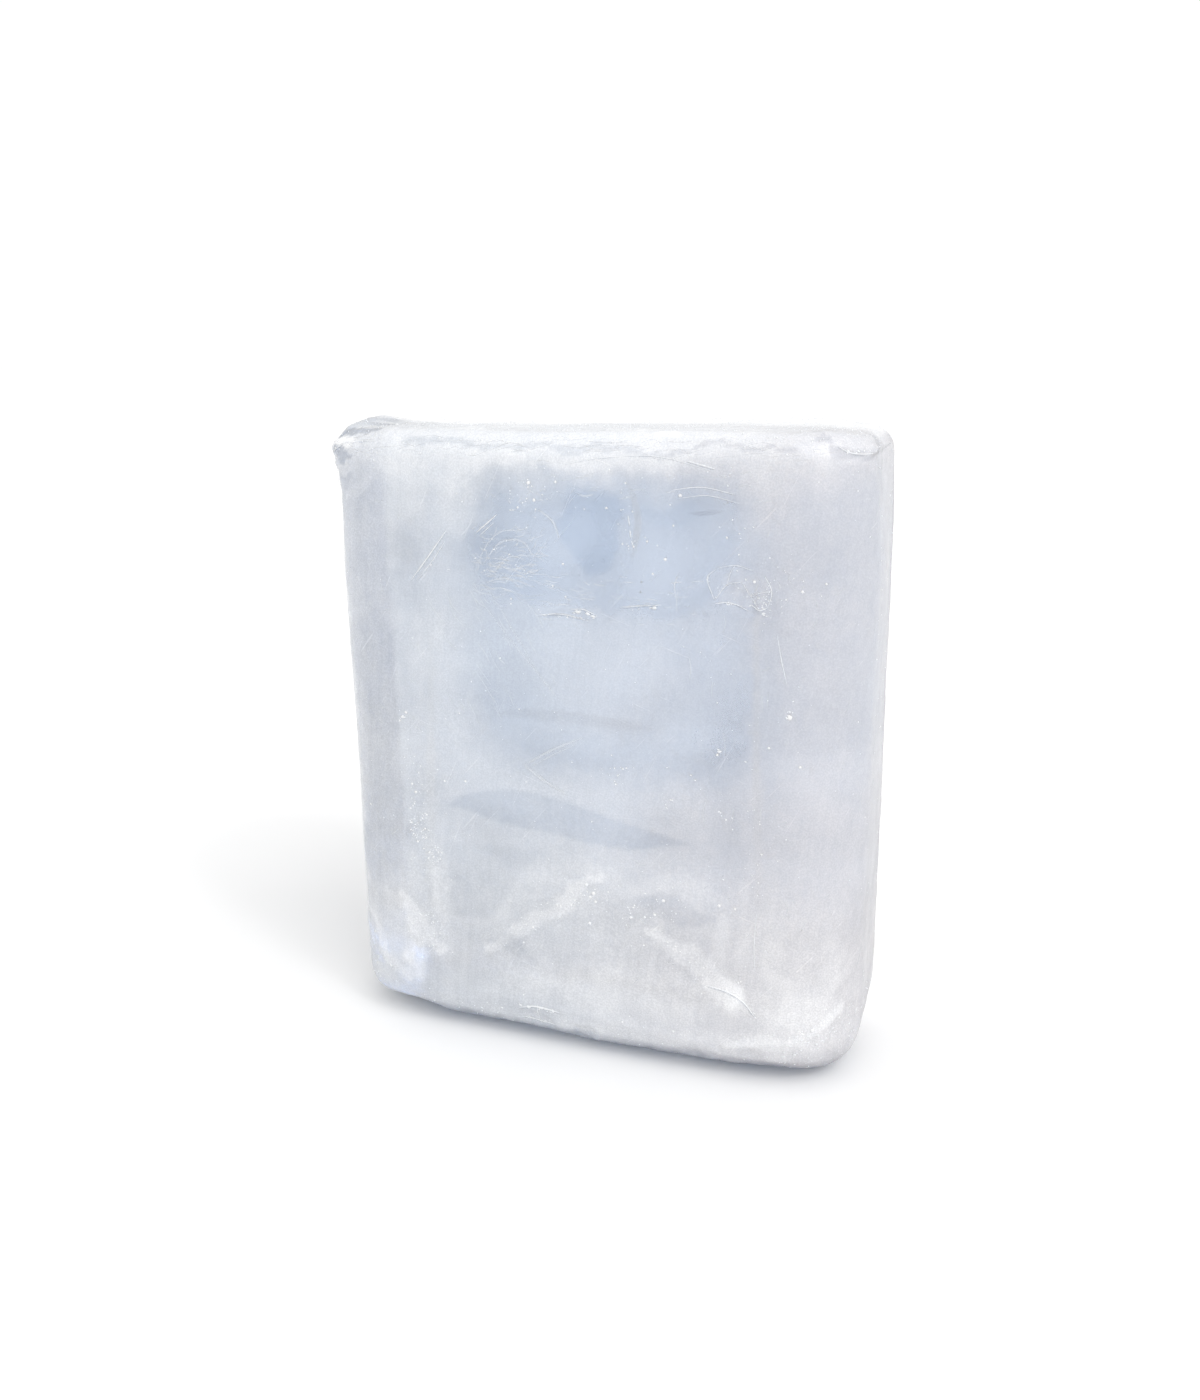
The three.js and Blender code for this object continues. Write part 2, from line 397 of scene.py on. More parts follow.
# The same on the back, across as on the front.
BACK_PATCHES = {
    "back window": (-0.10, 0.72, 58, 50, 0, 0.5, -0.10),
    "back clear spot": (-0.28, 0.80, 16, 12, 20, 0.4, -0.08),
    "back dark pane": (0.10, 0.44, 44, 7, 8, 0.5, -0.10),
    "back cloud right": (0.40, 0.30, 40, 17, 20, 0.6, 0.14),
    "back cloud left": (-0.50, 0.22, 34, 14, -15, 0.6, 0.12),
    "back milk": (0.62, 0.66, 20, 40, 8, 0.8, 0.10),
    "back foot": (0.0, 0.05, 112, 22, 0, 0.9, 0.20),
    "back rim": (0.0, 1.0, 112, 14, 0, 1.0, 0.14),
}

# Narrow bands: the line each follows as (across, up, half width in mm), how soft, how much more.
FROST_AND_SHADE_BANDS = {
    "white streak": (
        [(-0.36, 0.165, 1.5), (-0.20, 0.222, 3.2), (0.0, 0.292, 3.0), (0.10, 0.325, 1.0)],
        0.7, 0.07),
    "left heel curve": (
        [(-0.93, 0.205, 1.0), (-0.85, 0.165, 2.2), (-0.78, 0.118, 2.8), (-0.70, 0.088, 2.2)], 1.0, 0.06),
    "left cloud": ([(-0.70, 0.235, 2.5), (-0.63, 0.190, 5.0), (-0.56, 0.150, 3.0)], 0.5, 0.07),
    "right cloud": ([(0.27, 0.250, 1.5), (0.42, 0.215, 6.0), (0.57, 0.155, 5.0)], 0.7, 0.07),
    "right cloud leg": ([(0.54, 0.29, 2.0), (0.53, 0.22, 4.0), (0.60, 0.14, 3.5)], 0.45, 0.04),
    "middle cloud": ([(0.05, 0.33, 3), (0.20, 0.31, 4), (0.40, 0.335, 4), (0.58, 0.32, 2)], 0.6, 0.03),
    "heel ridge": (
        [(0.56, 0.066, 1.5), (0.70, 0.075, 2.6), (0.84, 0.10, 2.4), (0.95, 0.135, 1.5)],
        1.0, 0.05),
    "left corner": ([(-0.84, 0.0, 21), (-0.83, 0.5, 21), (-0.83, 0.9, 21)], 0.4, 0.05),
    "left corner edge": ([(-1.0, 0.40, 18), (-1.0, 0.7, 18), (-1.0, 1.0, 18)], 0.9, 0.08),
    # Painted highlight on the corner fold's crest, and painted shade in the hollows round it and under
    # the left wrinkles:
    "corner fold crest": ([(-1.0, 0.945, 1.2), (-0.93, 0.962, 1.4), (-0.80, 0.972, 1.0)], 0.6, 0.18),
    "corner fold hollow": ([(-1.0, 0.932, 1.2), (-0.92, 0.949, 1.6), (-0.82, 0.957, 1.2)], 0.6, -0.18),
    "corner fold foot": ([(-0.99, 0.915, 1.2), (-0.91, 0.926, 1.6), (-0.84, 0.93, 1.2)], 0.6, -0.08),
    "corner fold top": ([(-0.95, 0.975, 1.2), (-0.84, 0.984, 1.5), (-0.70, 0.985, 1.2)], 0.6, -0.20),
    "left wrinkle hollow": ([(-1.02, 0.906, 1.2), (-0.95, 0.890, 1.2)], 0.6, -0.25),
    "left wrinkle hollow below": ([(-1.02, 0.883, 1.0), (-0.96, 0.868, 1.0)], 0.6, -0.18),
    # Painted shade along the right crease and in the top groove:
    "right crease": (
        [(0.80, 0.982, 1.0), (0.87, 0.966, 1.3), (0.94, 0.959, 1.2), (1.02, 0.963, 1.2)],
        0.6, -0.12),
    "top groove": (
        [(-0.6, 0.976, 0.9), (-0.2, 0.972, 1.1), (0.3, 0.975, 1.0), (0.75, 0.970, 0.9)],
        0.7, -0.10),
    "upper milk left": ([(-0.62, 0.93, 5), (-0.50, 0.82, 6), (-0.50, 0.70, 4)], 0.9, 0.05),
}

# Clear panes with straighter rims: the corners in order, how soft the rim is in mm, how much more.
FROST_PANES = {
    "leaf": (
        [(-0.520, 0.407), (-0.44, 0.432), (-0.358, 0.447), (-0.220, 0.456), (-0.086, 0.454),
         (0.100, 0.438), (0.281, 0.416), (0.470, 0.397), (0.281, 0.379), (0.098, 0.373),
         (-0.053, 0.379), (-0.285, 0.394)],
        1.6, -0.15),
    "left pane": ([(-0.530, 0.350), (-0.10, 0.366), (-0.34, 0.215), (-0.500, 0.210)], 3.0, -0.07),
}


def pane_depth(points, corners):
    """How deep each point lies inside a pane, in metres, negative outside it. Corners go clockwise."""
    places = [np.array((across * HIGH.x, up * HIGH.z)) for across, up in corners]
    deep = np.full(points.shape[:-1], np.inf)
    for start, end in zip(places, places[1:] + places[:1]):
        along = (end - start) / np.linalg.norm(end - start)
        gap = (points[..., 0] - start[0]) * along[1] - (points[..., 2] - start[1]) * along[0]
        deep = np.minimum(deep, gap)
    return deep


def faded(r, soft):
    """1 inside a patch and 0 outside, from how far a point is from its middle."""
    fade = np.clip((1 + soft / 2 - r) / soft, 0, 1)
    return fade * fade * (3 - 2 * fade)


def warped(points):
    """The points moved about by up to a few millimetres, so that patches get ragged rims."""
    moved = points
    for reach, size, shifts in RAGGED_RIMS:
        moved = moved + reach * MM * np.stack([lumps(points, size * MM, s) for s in shifts], axis=-1)
    return moved


def plain_frost(points, moved):
    """The frost before any patch: more along the edges and on the top, where it is partly painted light
    from above, even on the front.
    """
    edge = np.exp(-((edge_gap(points) / (14 * MM)) ** 2))
    outer = np.clip(oval(moved, 0, 0.55, 95, 112) - 0.4, 0, 1)
    top = np.clip((points[..., 2] - HIGH.z) / (7 * MM) + 1, 0, 1)
    elsewhere = PLAIN_FROST + EDGE_FROST * edge + OUTER_FROST * outer + TOP_FROST_AND_LIGHT * top
    return elsewhere + on_front(points) * (FRONT_FROST - elsewhere)


def patch_frost(moved, patches, power=2):
    """What a set of patches adds to the frost; on the front some of it is painted shade, painted light or
    painted images of edges.
    """
    added = np.zeros(moved.shape[:-1])
    for across, up, half_width, half_height, turn, soft, more in patches.values():
        r = oval(moved, across, up, half_width, half_height, turn, power)
        added += more * faded(r, soft)
    return added


def band_frost_and_shade(moved):
    """What the narrow bands add to the frost, with painted shade and painted highlights along the folds
    and creases.
    """
    added = np.zeros(moved.shape[:-1])
    for line, soft, more in FROST_AND_SHADE_BANDS.values():
        r = along_line(moved[..., 0], moved[..., 2], front_places(line))
        added += more * faded(r, soft)
    return added


def pane_frost(points):
    """What the clear panes add to the frost."""
    added = np.zeros(points.shape[:-1])
    for corners, soft, more in FROST_PANES.values():
        added += more * np.clip(pane_depth(points, corners) / (soft * MM), 0, 1)
    return added


def painted_foot_shade(points):
    """How much frost is taken off along the front's foot, all but its left end: painted shade, darker
    towards the floor.
    """
    low = np.clip(1.6 - points[..., 2] / (7 * MM), 0, 1)
    past_left_end = np.clip((points[..., 0] / HIGH.x + 0.80) / 0.15, 0, 1)
    return low * past_left_end * (0.34 + 0.12 * lumps(points, 5 * MM, 31))


def frost_amount(points):
    """The share of the skin that frost covers at each point, with painted shade, painted highlights and
    painted images of edges worked into it.
    """
    front = on_front(points)
    moved = warped(points)
    steadier = points + 0.3 * (moved - points)
    marks = patch_frost(moved, FROST_FIELDS, 5) + patch_frost(moved, FROST_AND_LIGHT_PATCHES)
    marks += band_frost_and_shade(moved) + pane_frost(steadier) - painted_foot_shade(points)
    amount = plain_frost(points, moved) + front * marks
    amount += on_back(points) * patch_frost(moved, BACK_PATCHES)
    amount += SIDE_CLOUDS * (1 - front) * lumps(points, 26 * MM, 41)
    amount += layered_lumps(points, FROST_LUMPS)
    return np.clip(amount, LEAST_FROST, MOST_FROST)


def rime_amount(points):
    """How thickly loose frost grains lie at each point, from 0 to 1."""
    front = on_front(points)
    rim = np.exp(-(((points[..., 2] - 0.985 * HIGH.z) / (7 * MM)) ** 2))
    foot = 0.25 * np.exp(-(((points[..., 2] - 0.05 * HIGH.z) / (9 * MM)) ** 2))
    heel = front * 0.5 * faded(oval(points, 0.88, 0.07, 20, 12, 14), 0.7)
    left = front * 0.6 * faded(oval(points, -0.90, 0.08, 12, 14, -20), 0.7)
    patchy = np.clip(0.55 + 0.9 * lumps(points, 8 * MM, 23), 0, 1)
    off_floor = np.clip(points[..., 2] / (6 * MM) - 0.3, 0, 1)
    return np.clip(rim + foot + heel + left, 0, 1) * patchy * off_floor


# ---------------------------------------------------------------------------------------------
# Scrapes and scuffs: slivers of crushed ice along the lines that tools and handling have cut, and white
# slivers painted as highlights at the crescent and the foot.

# Each scrape: its line as places on the front, its width and how proud it stands, in mm.
SCRAPES = {
    "long scrape": ([(-0.585, 0.772), (-0.52, 0.806), (-0.44, 0.849)], 0.6, 0.2),
    "long scrape beside": ([(-0.562, 0.772), (-0.50, 0.802), (-0.445, 0.834)], 0.3, 0.1),
    "short scrape": ([(-0.327, 0.848), (-0.248, 0.876)], 0.5, 0.15),
    "short scrape beside": ([(-0.310, 0.846), (-0.262, 0.863)], 0.3, 0.1),
    "top arc": ([(-0.02, 0.948), (0.11, 0.958), (0.30, 0.962), (0.49, 0.944)], 0.25, 0.08),
    "top arc end": ([(0.40, 0.957), (0.49, 0.947)], 0.5, 0.2),
    "upper line": ([(0.35, 0.917), (0.45, 0.922), (0.555, 0.914)], 0.3, 0.1),
    "upper line below": ([(0.37, 0.906), (0.47, 0.911), (0.57, 0.902)], 0.22, 0.08),
    "plumb line upper": ([(0.208, 0.880), (0.213, 0.866)], 0.4, 0.15),
    "plumb line middle": ([(0.214, 0.860), (0.217, 0.850)], 0.5, 0.2),
    "plumb line lower": ([(0.219, 0.845), (0.226, 0.836)], 0.4, 0.15),
    "gash lip": ([(-0.115, 0.731), (-0.03, 0.7335), (0.07, 0.7265)], 0.45, 0.2),
    "gash upper lip": ([(0.005, 0.7415), (0.05, 0.7435), (0.095, 0.737)], 0.35, 0.2),
    "short gash lip": ([(0.18, 0.750), (0.27, 0.754), (0.32, 0.757)], 0.4, 0.2),
    "pecked left edge": ([(0.500, 0.812), (0.470, 0.797), (0.497, 0.768)], 0.3, 0.12),
    "pecked low edge": ([(0.497, 0.763), (0.53, 0.7655), (0.57, 0.7625), (0.605, 0.7555)], 0.4, 0.2),
    "pecked low corner": ([(0.61, 0.764), (0.64, 0.757), (0.668, 0.762)], 0.4, 0.2),
    "pecked right edge": ([(0.668, 0.762), (0.679, 0.785), (0.655, 0.806)], 0.3, 0.12),
    "pecked top edge": ([(0.50, 0.812), (0.56, 0.818), (0.62, 0.812)], 0.22, 0.1),
    "peck facet": ([(0.497, 0.768), (0.535, 0.790), (0.585, 0.796)], 0.3, 0.12),
    "peck facet right": ([(0.585, 0.796), (0.612, 0.775), (0.64, 0.757)], 0.3, 0.12),
    "peck facet top": ([(0.535, 0.790), (0.545, 0.806), (0.56, 0.818)], 0.22, 0.1),
    "peck facet end": ([(0.612, 0.775), (0.645, 0.782), (0.679, 0.785)], 0.25, 0.1),
    # The crescent and the foot glints are painted highlights, white slivers rather than cuts:
    "crescent": ([(0.485, 0.168), (0.56, 0.163), (0.62, 0.150), (0.665, 0.128)], 0.6, 0.3),
    "foot glint": ([(-0.235, 0.068), (-0.16, 0.076), (-0.07, 0.073)], 0.8, 0.35),
    "foot glint low": ([(-0.235, 0.046), (-0.17, 0.044), (-0.10, 0.040)], 0.6, 0.3),
    "foot glint upright": ([(-0.158, 0.080), (-0.162, 0.060), (-0.163, 0.040)], 0.4, 0.2),
    "flake edge": ([(0.85, 0.976), (0.89, 0.966), (0.95, 0.9625), (1.01, 0.9665)], 0.5, 0.2),
    "left wrinkle": ([(-0.995, 0.915), (-0.955, 0.898)], 0.6, 0.3),
    "left wrinkle below": ([(-0.995, 0.893), (-0.965, 0.880)], 0.5, 0.25),
    "facet edge": ([(-0.93, 0.955), (-0.84, 0.972), (-0.70, 0.978)], 0.5, 0.2),
    "upright scrape": ([(0.70, 0.725), (0.715, 0.69), (0.735, 0.655)], 0.25, 0.1),
    "leg line": ([(0.66, 0.30), (0.655, 0.25), (0.66, 0.205)], 0.3, 0.1),
}

# Faint broad strokes, wider and lower than the scrapes.
RUBS = {
    "arrow upper": ([(0.045, 0.549), (-0.08, 0.522), (-0.178, 0.495)], 1.3, 0.06),
    "arrow upper beside": ([(0.020, 0.537), (-0.07, 0.516), (-0.152, 0.493)], 0.7, 0.05),
    "arrow lower": ([(-0.178, 0.495), (-0.11, 0.474), (-0.020, 0.455)], 1.4, 0.06),
    "arrow lower beside": ([(-0.150, 0.490), (-0.08, 0.468), (-0.03, 0.458)], 0.7, 0.05),
    "swirl arm": ([(-0.31, 0.80), (-0.24, 0.835), (-0.16, 0.838), (-0.12, 0.815)], 0.9, 0.06),
    "swirl arm inner": ([(-0.27, 0.790), (-0.21, 0.815), (-0.15, 0.812)], 0.8, 0.06),
    "swirl foot": ([(-0.30, 0.775), (-0.22, 0.783), (-0.12, 0.772)], 0.8, 0.06),
    "swirl back": ([(-0.33, 0.788), (-0.30, 0.825), (-0.23, 0.852), (-0.13, 0.850)], 0.6, 0.06),
    "swirl eye": ([(-0.26, 0.802), (-0.20, 0.797), (-0.15, 0.803)], 0.7, 0.06),
    "swirl eye below": ([(-0.25, 0.790), (-0.19, 0.787), (-0.14, 0.792)], 0.5, 0.06),
    "swirl tail": ([(-0.33, 0.762), (-0.24, 0.768), (-0.16, 0.758), (-0.08, 0.762)], 0.5, 0.05),
    "disc shoulder": ([(-0.10, 0.885), (-0.05, 0.868), (-0.03, 0.845)], 0.9, 0.06),
    "long rub": ([(-0.326, 0.748), (-0.18, 0.672), (-0.04, 0.603)], 0.6, 0.05),
    "long rub beside": ([(-0.28, 0.76), (-0.20, 0.70), (-0.12, 0.645)], 0.5, 0.05),
}

# Loose scuffs: middle, half sizes of the patch in mm, how many, length in mm, turn, spread of turn.
SCUFFS = {
    "swirl": ((-0.21, 0.825), (14, 9), 80, 3.4, 20, 50),
    "inside the swirl": ((-0.21, 0.800), (10, 4), 40, 4, 0, 14),
    "under the swirl": ((-0.14, 0.775), (24, 5), 40, 4.5, -12, 18),
    "left of the swirl": ((-0.31, 0.78), (6, 12), 24, 3, -50, 25),
    "upper scuffs": ((0.28, 0.925), (42, 7), 30, 4, 4, 12),
    "left of the disc": ((-0.17, 0.905), (12, 6), 20, 2.2, 20, 90),
    "middle scuffs": ((0.13, 0.775), (34, 7), 26, 5, 0, 10),
    "above the gashes": ((0.10, 0.745), (40, 6), 20, 3.5, 3, 12),
    "slanting scratches": ((-0.24, 0.67), (30, 26), 26, 11, -58, 8),
    "faint uprights": ((0.55, 0.60), (20, 60), 14, 9, 88, 8),
    "left side scuffs": ((-0.72, 0.60), (20, 80), 30, 3, 60, 80),
    "right side scuffs": ((0.82, 0.60), (18, 80), 26, 3, 80, 60),
    "lower scuffs": ((0.0, 0.24), (90, 30), 30, 3.5, 10, 60),
    "rim lines": ((0.0, 0.972), (95, 3), 60, 12, 1, 4),
}


# ---------------------------------------------------------------------------------------------
# Materials


def material(name):
    """A new node material, and its Principled shader."""
    mat = bpy.data.materials.new(name)
    mat.use_nodes = True
    return mat, mat.node_tree.nodes["Principled BSDF"]


def add_node(tree, kind, settings=(), **inputs):
    """A node in the tree; each input takes a value or another node's output."""
    node = tree.nodes.new(kind)
    for key, value in dict(settings).items():
        setattr(node, key, value)
    for key, value in inputs.items():
        socket = node.inputs[int(key[1:])] if key[0] == "_" else node.inputs[key.replace("_", " ")]
        if isinstance(value, bpy.types.NodeSocket):
            tree.links.new(value, socket)
        else:
            socket.default_value = value
    return node


def new_tree(name, kind, inputs, outputs):
    """A node tree with these inputs and outputs, (name, type) each, and its two end nodes."""
    tree = bpy.data.node_groups.new(name, kind)
    for way, sockets in (("INPUT", inputs), ("OUTPUT", outputs)):
        for socket, value_type in sockets:
            tree.interface.new_socket(socket, in_out=way, socket_type="NodeSocket" + value_type)
    return tree, tree.nodes.new("NodeGroupInput"), tree.nodes.new("NodeGroupOutput")


def arithmetic(tree, operation, a, b=0.0, c=0.0):
    """The outcome of a sum on values or on other nodes' outputs."""
    return add_node(tree, "ShaderNodeMath", {"operation": operation}, _0=a, _1=b, _2=c).outputs[0]


def spread(tree, value, low, high, to_low, to_high):
    """Carries a value from one range to another, and holds it there."""
    node = add_node(tree, "ShaderNodeMapRange", {"interpolation_type": "SMOOTHSTEP"}, Value=value)
    for key, number in zip(("From Min", "From Max", "To Min", "To Max"), (low, high, to_low, to_high)):
        node.inputs[key].default_value = number
    return node.outputs[0]


def mixed(tree, share, first, second):
    """A colour between two others."""
    node = add_node(tree, "ShaderNodeMix", {"data_type": "RGBA"}, _0=share, _6=first, _7=second)
    return node.outputs[2]


def pattern(tree, place, low, high, **settings):
    """A cloudy pattern, 0 where it is below the low value and 1 where it is above the high one."""
    cloudy = add_node(tree, "ShaderNodeTexNoise", Vector=place, **settings)
    return spread(tree, cloudy.outputs[0], low, high, 0.0, 1.0)


def drawn_out(tree, place, turn, per_metre):
    """Places turned about Y and scaled along each axis, so that a pattern on them turns to streaks."""
    node = add_node(tree, "ShaderNodeMapping", {"vector_type": "TEXTURE"}, Vector=place)
    node.inputs["Rotation"].default_value = (0, math.radians(turn), 0)
    node.inputs["Scale"].default_value = [1 / count for count in per_metre]
    return node.outputs[0]


# Sets of hairline scratches: turn in degrees, how many per metre along and across, how rare.
HAIRLINES = ((-48, 40, 1300, 0.73), (-64, 30, 1500, 0.74), (20, 45, 1400, 0.75))
HAIRLINE_FADE = 0.06


def hairlines(tree, place):
    """Thin straight scratches in a few directions."""
    lines = 0.0
    for turn, along, cross, rare in HAIRLINES:
        streaks = drawn_out(tree, place, turn, (along, 90, cross))
        line = pattern(tree, streaks, rare, rare + HAIRLINE_FADE, Scale=1.0, Detail=1.0)
        lines = arithmetic(tree, "MAXIMUM", lines, line)
    return lines


# How much each mark adds to the height that the bump follows.
MARK_HEIGHTS = {"Mottle": 0.6, "Grain": 0.35, "Streaks": 0.3, "Hairlines": -1.0}


def grain_group():
    """The fine marks that ice carries: frosty grain, clouds, streaks, scratches, and their height."""
    names = ("Grain", "Hairlines", "Mottle", "Clouds", "Streaks", "Height")
    outputs = [(name, "Float") for name in names]
    tree, start, end = new_tree("ice_grain", "ShaderNodeTree", [("Vector", "Vector")], outputs)
    place = start.outputs["Vector"]
    brushed = drawn_out(tree, place, 7, (420, 120, 26))
    marks = {
        "Grain": pattern(tree, place, 0.35, 0.75, Scale=1500.0, Detail=3.0, Roughness=0.7),
        "Mottle": pattern(tree, place, 0.3, 0.7, Scale=160.0, Detail=5.0, Roughness=0.65),
        "Clouds": pattern(
            tree, place, 0.45, 0.56, Scale=45.0, Detail=7.0, Roughness=0.62, Distortion=0.7),
        "Streaks": pattern(tree, brushed, 0.3, 0.7, Scale=1.0, Detail=4.0, Roughness=0.7),
        "Hairlines": hairlines(tree, place),
    }
    height = 0.0
    for name, share in MARK_HEIGHTS.items():
        height = arithmetic(tree, "MULTIPLY_ADD", marks[name], share, height)
    marks["Height"] = height
    for name, value in marks.items():
        tree.links.new(value, end.inputs[name])
    return tree


def grain_node(mat, group):
    """The fine marks, at each place in the piece's own metres."""
    place = add_node(mat.node_tree, "ShaderNodeTexCoord").outputs["Object"]
    return add_node(mat.node_tree, "ShaderNodeGroup", {"node_tree": group}, Vector=place)


def bumped(mat, shader, height, strength, distance):
    """Lets the light see a fine height on the surface."""
    bump = add_node(mat.node_tree, "ShaderNodeBump", Strength=strength, Distance=distance, Height=height)
    mat.node_tree.links.new(bump.outputs[0], shader.inputs["Normal"])


def mark_value(mat, name):
    """The value that a named mark has on the surface."""
    return add_node(mat.node_tree, "ShaderNodeAttribute", {"attribute_name": name}).outputs["Fac"]


CLEAR_WHITE = (0.97, 0.985, 1.0, 1)
WATER_BLUE = (0.06, 0.30, 0.63, 1)  # what long ways through the ice leave of white light
ABSORPTION = 5.8  # per metre
FINE_HEIGHT = 0.2 * MM


def ice_material(grain):
    """Clear ice: rough enough to blur what lies behind it, and blue in its depth."""
    mat, shader = material("clear_ice")
    tree = mat.node_tree
    shader.inputs["Base Color"].default_value = CLEAR_WHITE
    shader.inputs["IOR"].default_value = 1.31
    shader.inputs["Transmission Weight"].default_value = 1.0
    marks = grain_node(mat, grain)
    rough = arithmetic(tree, "MULTIPLY_ADD", marks.outputs["Grain"], 0.06, 0.17)
    rough = arithmetic(tree, "MULTIPLY_ADD", marks.outputs["Hairlines"], 0.15, rough)
    tree.links.new(rough, shader.inputs["Roughness"])
    bumped(mat, shader, marks.outputs["Height"], 0.06, FINE_HEIGHT)
    absorb = add_node(tree, "ShaderNodeVolumeAbsorption", Density=ABSORPTION, Color=WATER_BLUE)
    tree.links.new(absorb.outputs[0], tree.nodes["Material Output"].inputs["Volume"])
    return mat


COOL_FROST = (0.83, 0.845, 0.86, 1)  # at the left
WARM_FROST = (0.80, 0.77, 0.772, 1)  # at the right
THICK_FROST = (0.94, 0.945, 0.955, 1)


def frost_colour(tree, thick):
    """Cool at the left, warmer at the right, and whiter where the frost is thick."""
    place = add_node(tree, "ShaderNodeTexCoord").outputs["Object"]
    side = add_node(tree, "ShaderNodeSeparateXYZ", Vector=place)
    to_right = spread(tree, side.outputs["X"], -0.3 * HIGH.x, 0.9 * HIGH.x, 0.0, 1.0)
    tint = mixed(tree, to_right, COOL_FROST, WARM_FROST)
    return mixed(tree, thick, tint, THICK_FROST)


def frost_cover(tree, marks, frost, thick):
    """How much of the ice the frost hides: sandy, mottled and streaked, fuller along the hairlines."""
    sandy = arithmetic(tree, "SUBTRACT", marks.outputs["Grain"], 0.45)
    sandier = arithmetic(tree, "MULTIPLY_ADD", frost, 0.16, 0.14)
    filled = arithmetic(tree, "MULTIPLY_ADD", thick, 0.12, 0.86)
    texture = arithmetic(tree, "MULTIPLY_ADD", sandy, sandier, filled)
    for name, share in (("Mottle", 0.07), ("Clouds", 0.04), ("Streaks", 0.07)):
        texture = arithmetic(tree, "MULTIPLY_ADD", marks.outputs[name], share, texture)
    cover = arithmetic(tree, "MULTIPLY", frost, texture)
    scratched = arithmetic(tree, "MULTIPLY_ADD", marks.outputs["Hairlines"], 0.12, cover)
    return arithmetic(tree, "MINIMUM", scratched, 1.0)


def frost_material(grain):
    """The frosted skin: white where frost is thick, and clear between."""
    mat, shader = material("frosted_skin")
    tree = mat.node_tree
    marks = grain_node(mat, grain)
    frost = mark_value(mat, "frost")
    thick = spread(tree, frost, 0.60, 0.92, 0.0, 1.0)
    tree.links.new(frost_colour(tree, thick), shader.inputs["Base Color"])
    tree.links.new(frost_cover(tree, marks, frost, thick), shader.inputs["Alpha"])
    shader.inputs["Roughness"].default_value = 0.45
    shader.inputs["Coat Weight"].default_value = 0.35
    shader.inputs["Coat Roughness"].default_value = 0.12
    bumped(mat, shader, marks.outputs["Height"], 0.3, FINE_HEIGHT)
    return mat


def wet_white_material(name, grain, mark, dull, bright, cover):
    """White with a wet gloss, between two tints by one of the fine marks."""
    mat, shader = material(name)
    marks = grain_node(mat, grain)
    tint = mixed(mat.node_tree, marks.outputs[mark], dull, bright)
    mat.node_tree.links.new(tint, shader.inputs["Base Color"])
    shader.inputs["Roughness"].default_value = 0.12
    shader.inputs["Alpha"].default_value = cover
    return mat


def crushed_ice_material(name, grain, cover):
    """Crushed ice: white, with a little gloss where it has melted."""
    dull, bright = (0.90, 0.925, 0.95, 1), (0.985, 0.99, 1.0, 1)
    return wet_white_material(name, grain, "Grain", dull, bright, cover)


def air_material(grain):
    """Trapped air: pale, bright beads."""
    dull, bright = (0.93, 0.95, 0.975, 1), (1.0, 1.0, 1.0, 1)
    return wet_white_material("trapped_air", grain, "Mottle", dull, bright, 0.85)


def painted_groove_shadow_material():
    """Painted shadow along a scrape: a faint dark sliver where the shaded side of its groove would be."""
    mat, shader = material("groove_painted_shadow")
    shader.inputs["Base Color"].default_value = (0.36, 0.43, 0.54, 1)
    shader.inputs["Roughness"].default_value = 0.3
    shader.inputs["Alpha"].default_value = 0.14
    return mat


def veil_material(name, colour, strength, grain):
    """A thin sheet inside the ice, thickest where its own mark is strongest. The pale streak and disc rim
    are flaws, the pale uprights are painted images of the back edges, and the dark veils are darker
    bands.
    """
    mat, shader = material(name)
    tree = mat.node_tree
    marks = grain_node(mat, grain)
    uneven = arithmetic(tree, "MULTIPLY_ADD", marks.outputs["Clouds"], 0.12, 0.92)
    sheet = arithmetic(tree, "MULTIPLY", mark_value(mat, "veil"), uneven)
    tree.links.new(arithmetic(tree, "MULTIPLY", sheet, strength), shader.inputs["Alpha"])
    shader.inputs["Base Color"].default_value = colour
    shader.inputs["Roughness"].default_value = 0.7
    return mat


# ---------------------------------------------------------------------------------------------
# Pieces


def add_piece(mesh, mat):
    """Puts a mesh into the scene as a piece of the block, in its material."""
    piece = bpy.data.objects.new(mesh.name, mesh)
    bpy.context.scene.collection.objects.link(piece)
    mesh.materials.append(mat)
    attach(piece, BODY)
    return piece


SKIN_THICKNESS = 0.15 * MM


def make_block(grain):
    """The ice itself, and the frosted skin on it, which it returns."""
    skin = block_grid()
    inner = skin - facing(skin) * SKIN_THICKNESS
    ice = add_piece(grid_mesh("ice_body", inner, {}), ice_material(grain))
    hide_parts(NODE)
    marks = {"frost": frost_amount(skin), "rime": rime_amount(skin)}
    return add_piece(grid_mesh("frost_skin", skin, marks), frost_material(grain))


# The other sides: the way each faces, and half the reach of its marks along X, Y and Z in metres,
# then how many scuffs, crumbs and opened bubbles it carries.
SIDES = {
    "back": ((0, 1, 0), (0.100, 0, 0.118), (90, 70, 300)),
    "right end": ((1, 0, 0), (0, 0.040, 0.118), (34, 24, 110)),
    "left end": ((-1, 0, 0), (0, 0.040, 0.118), (34, 24, 110)),
    "top": ((0, 0, 1), (0.100, 0.040, 0), (50, 30, 80)),
}


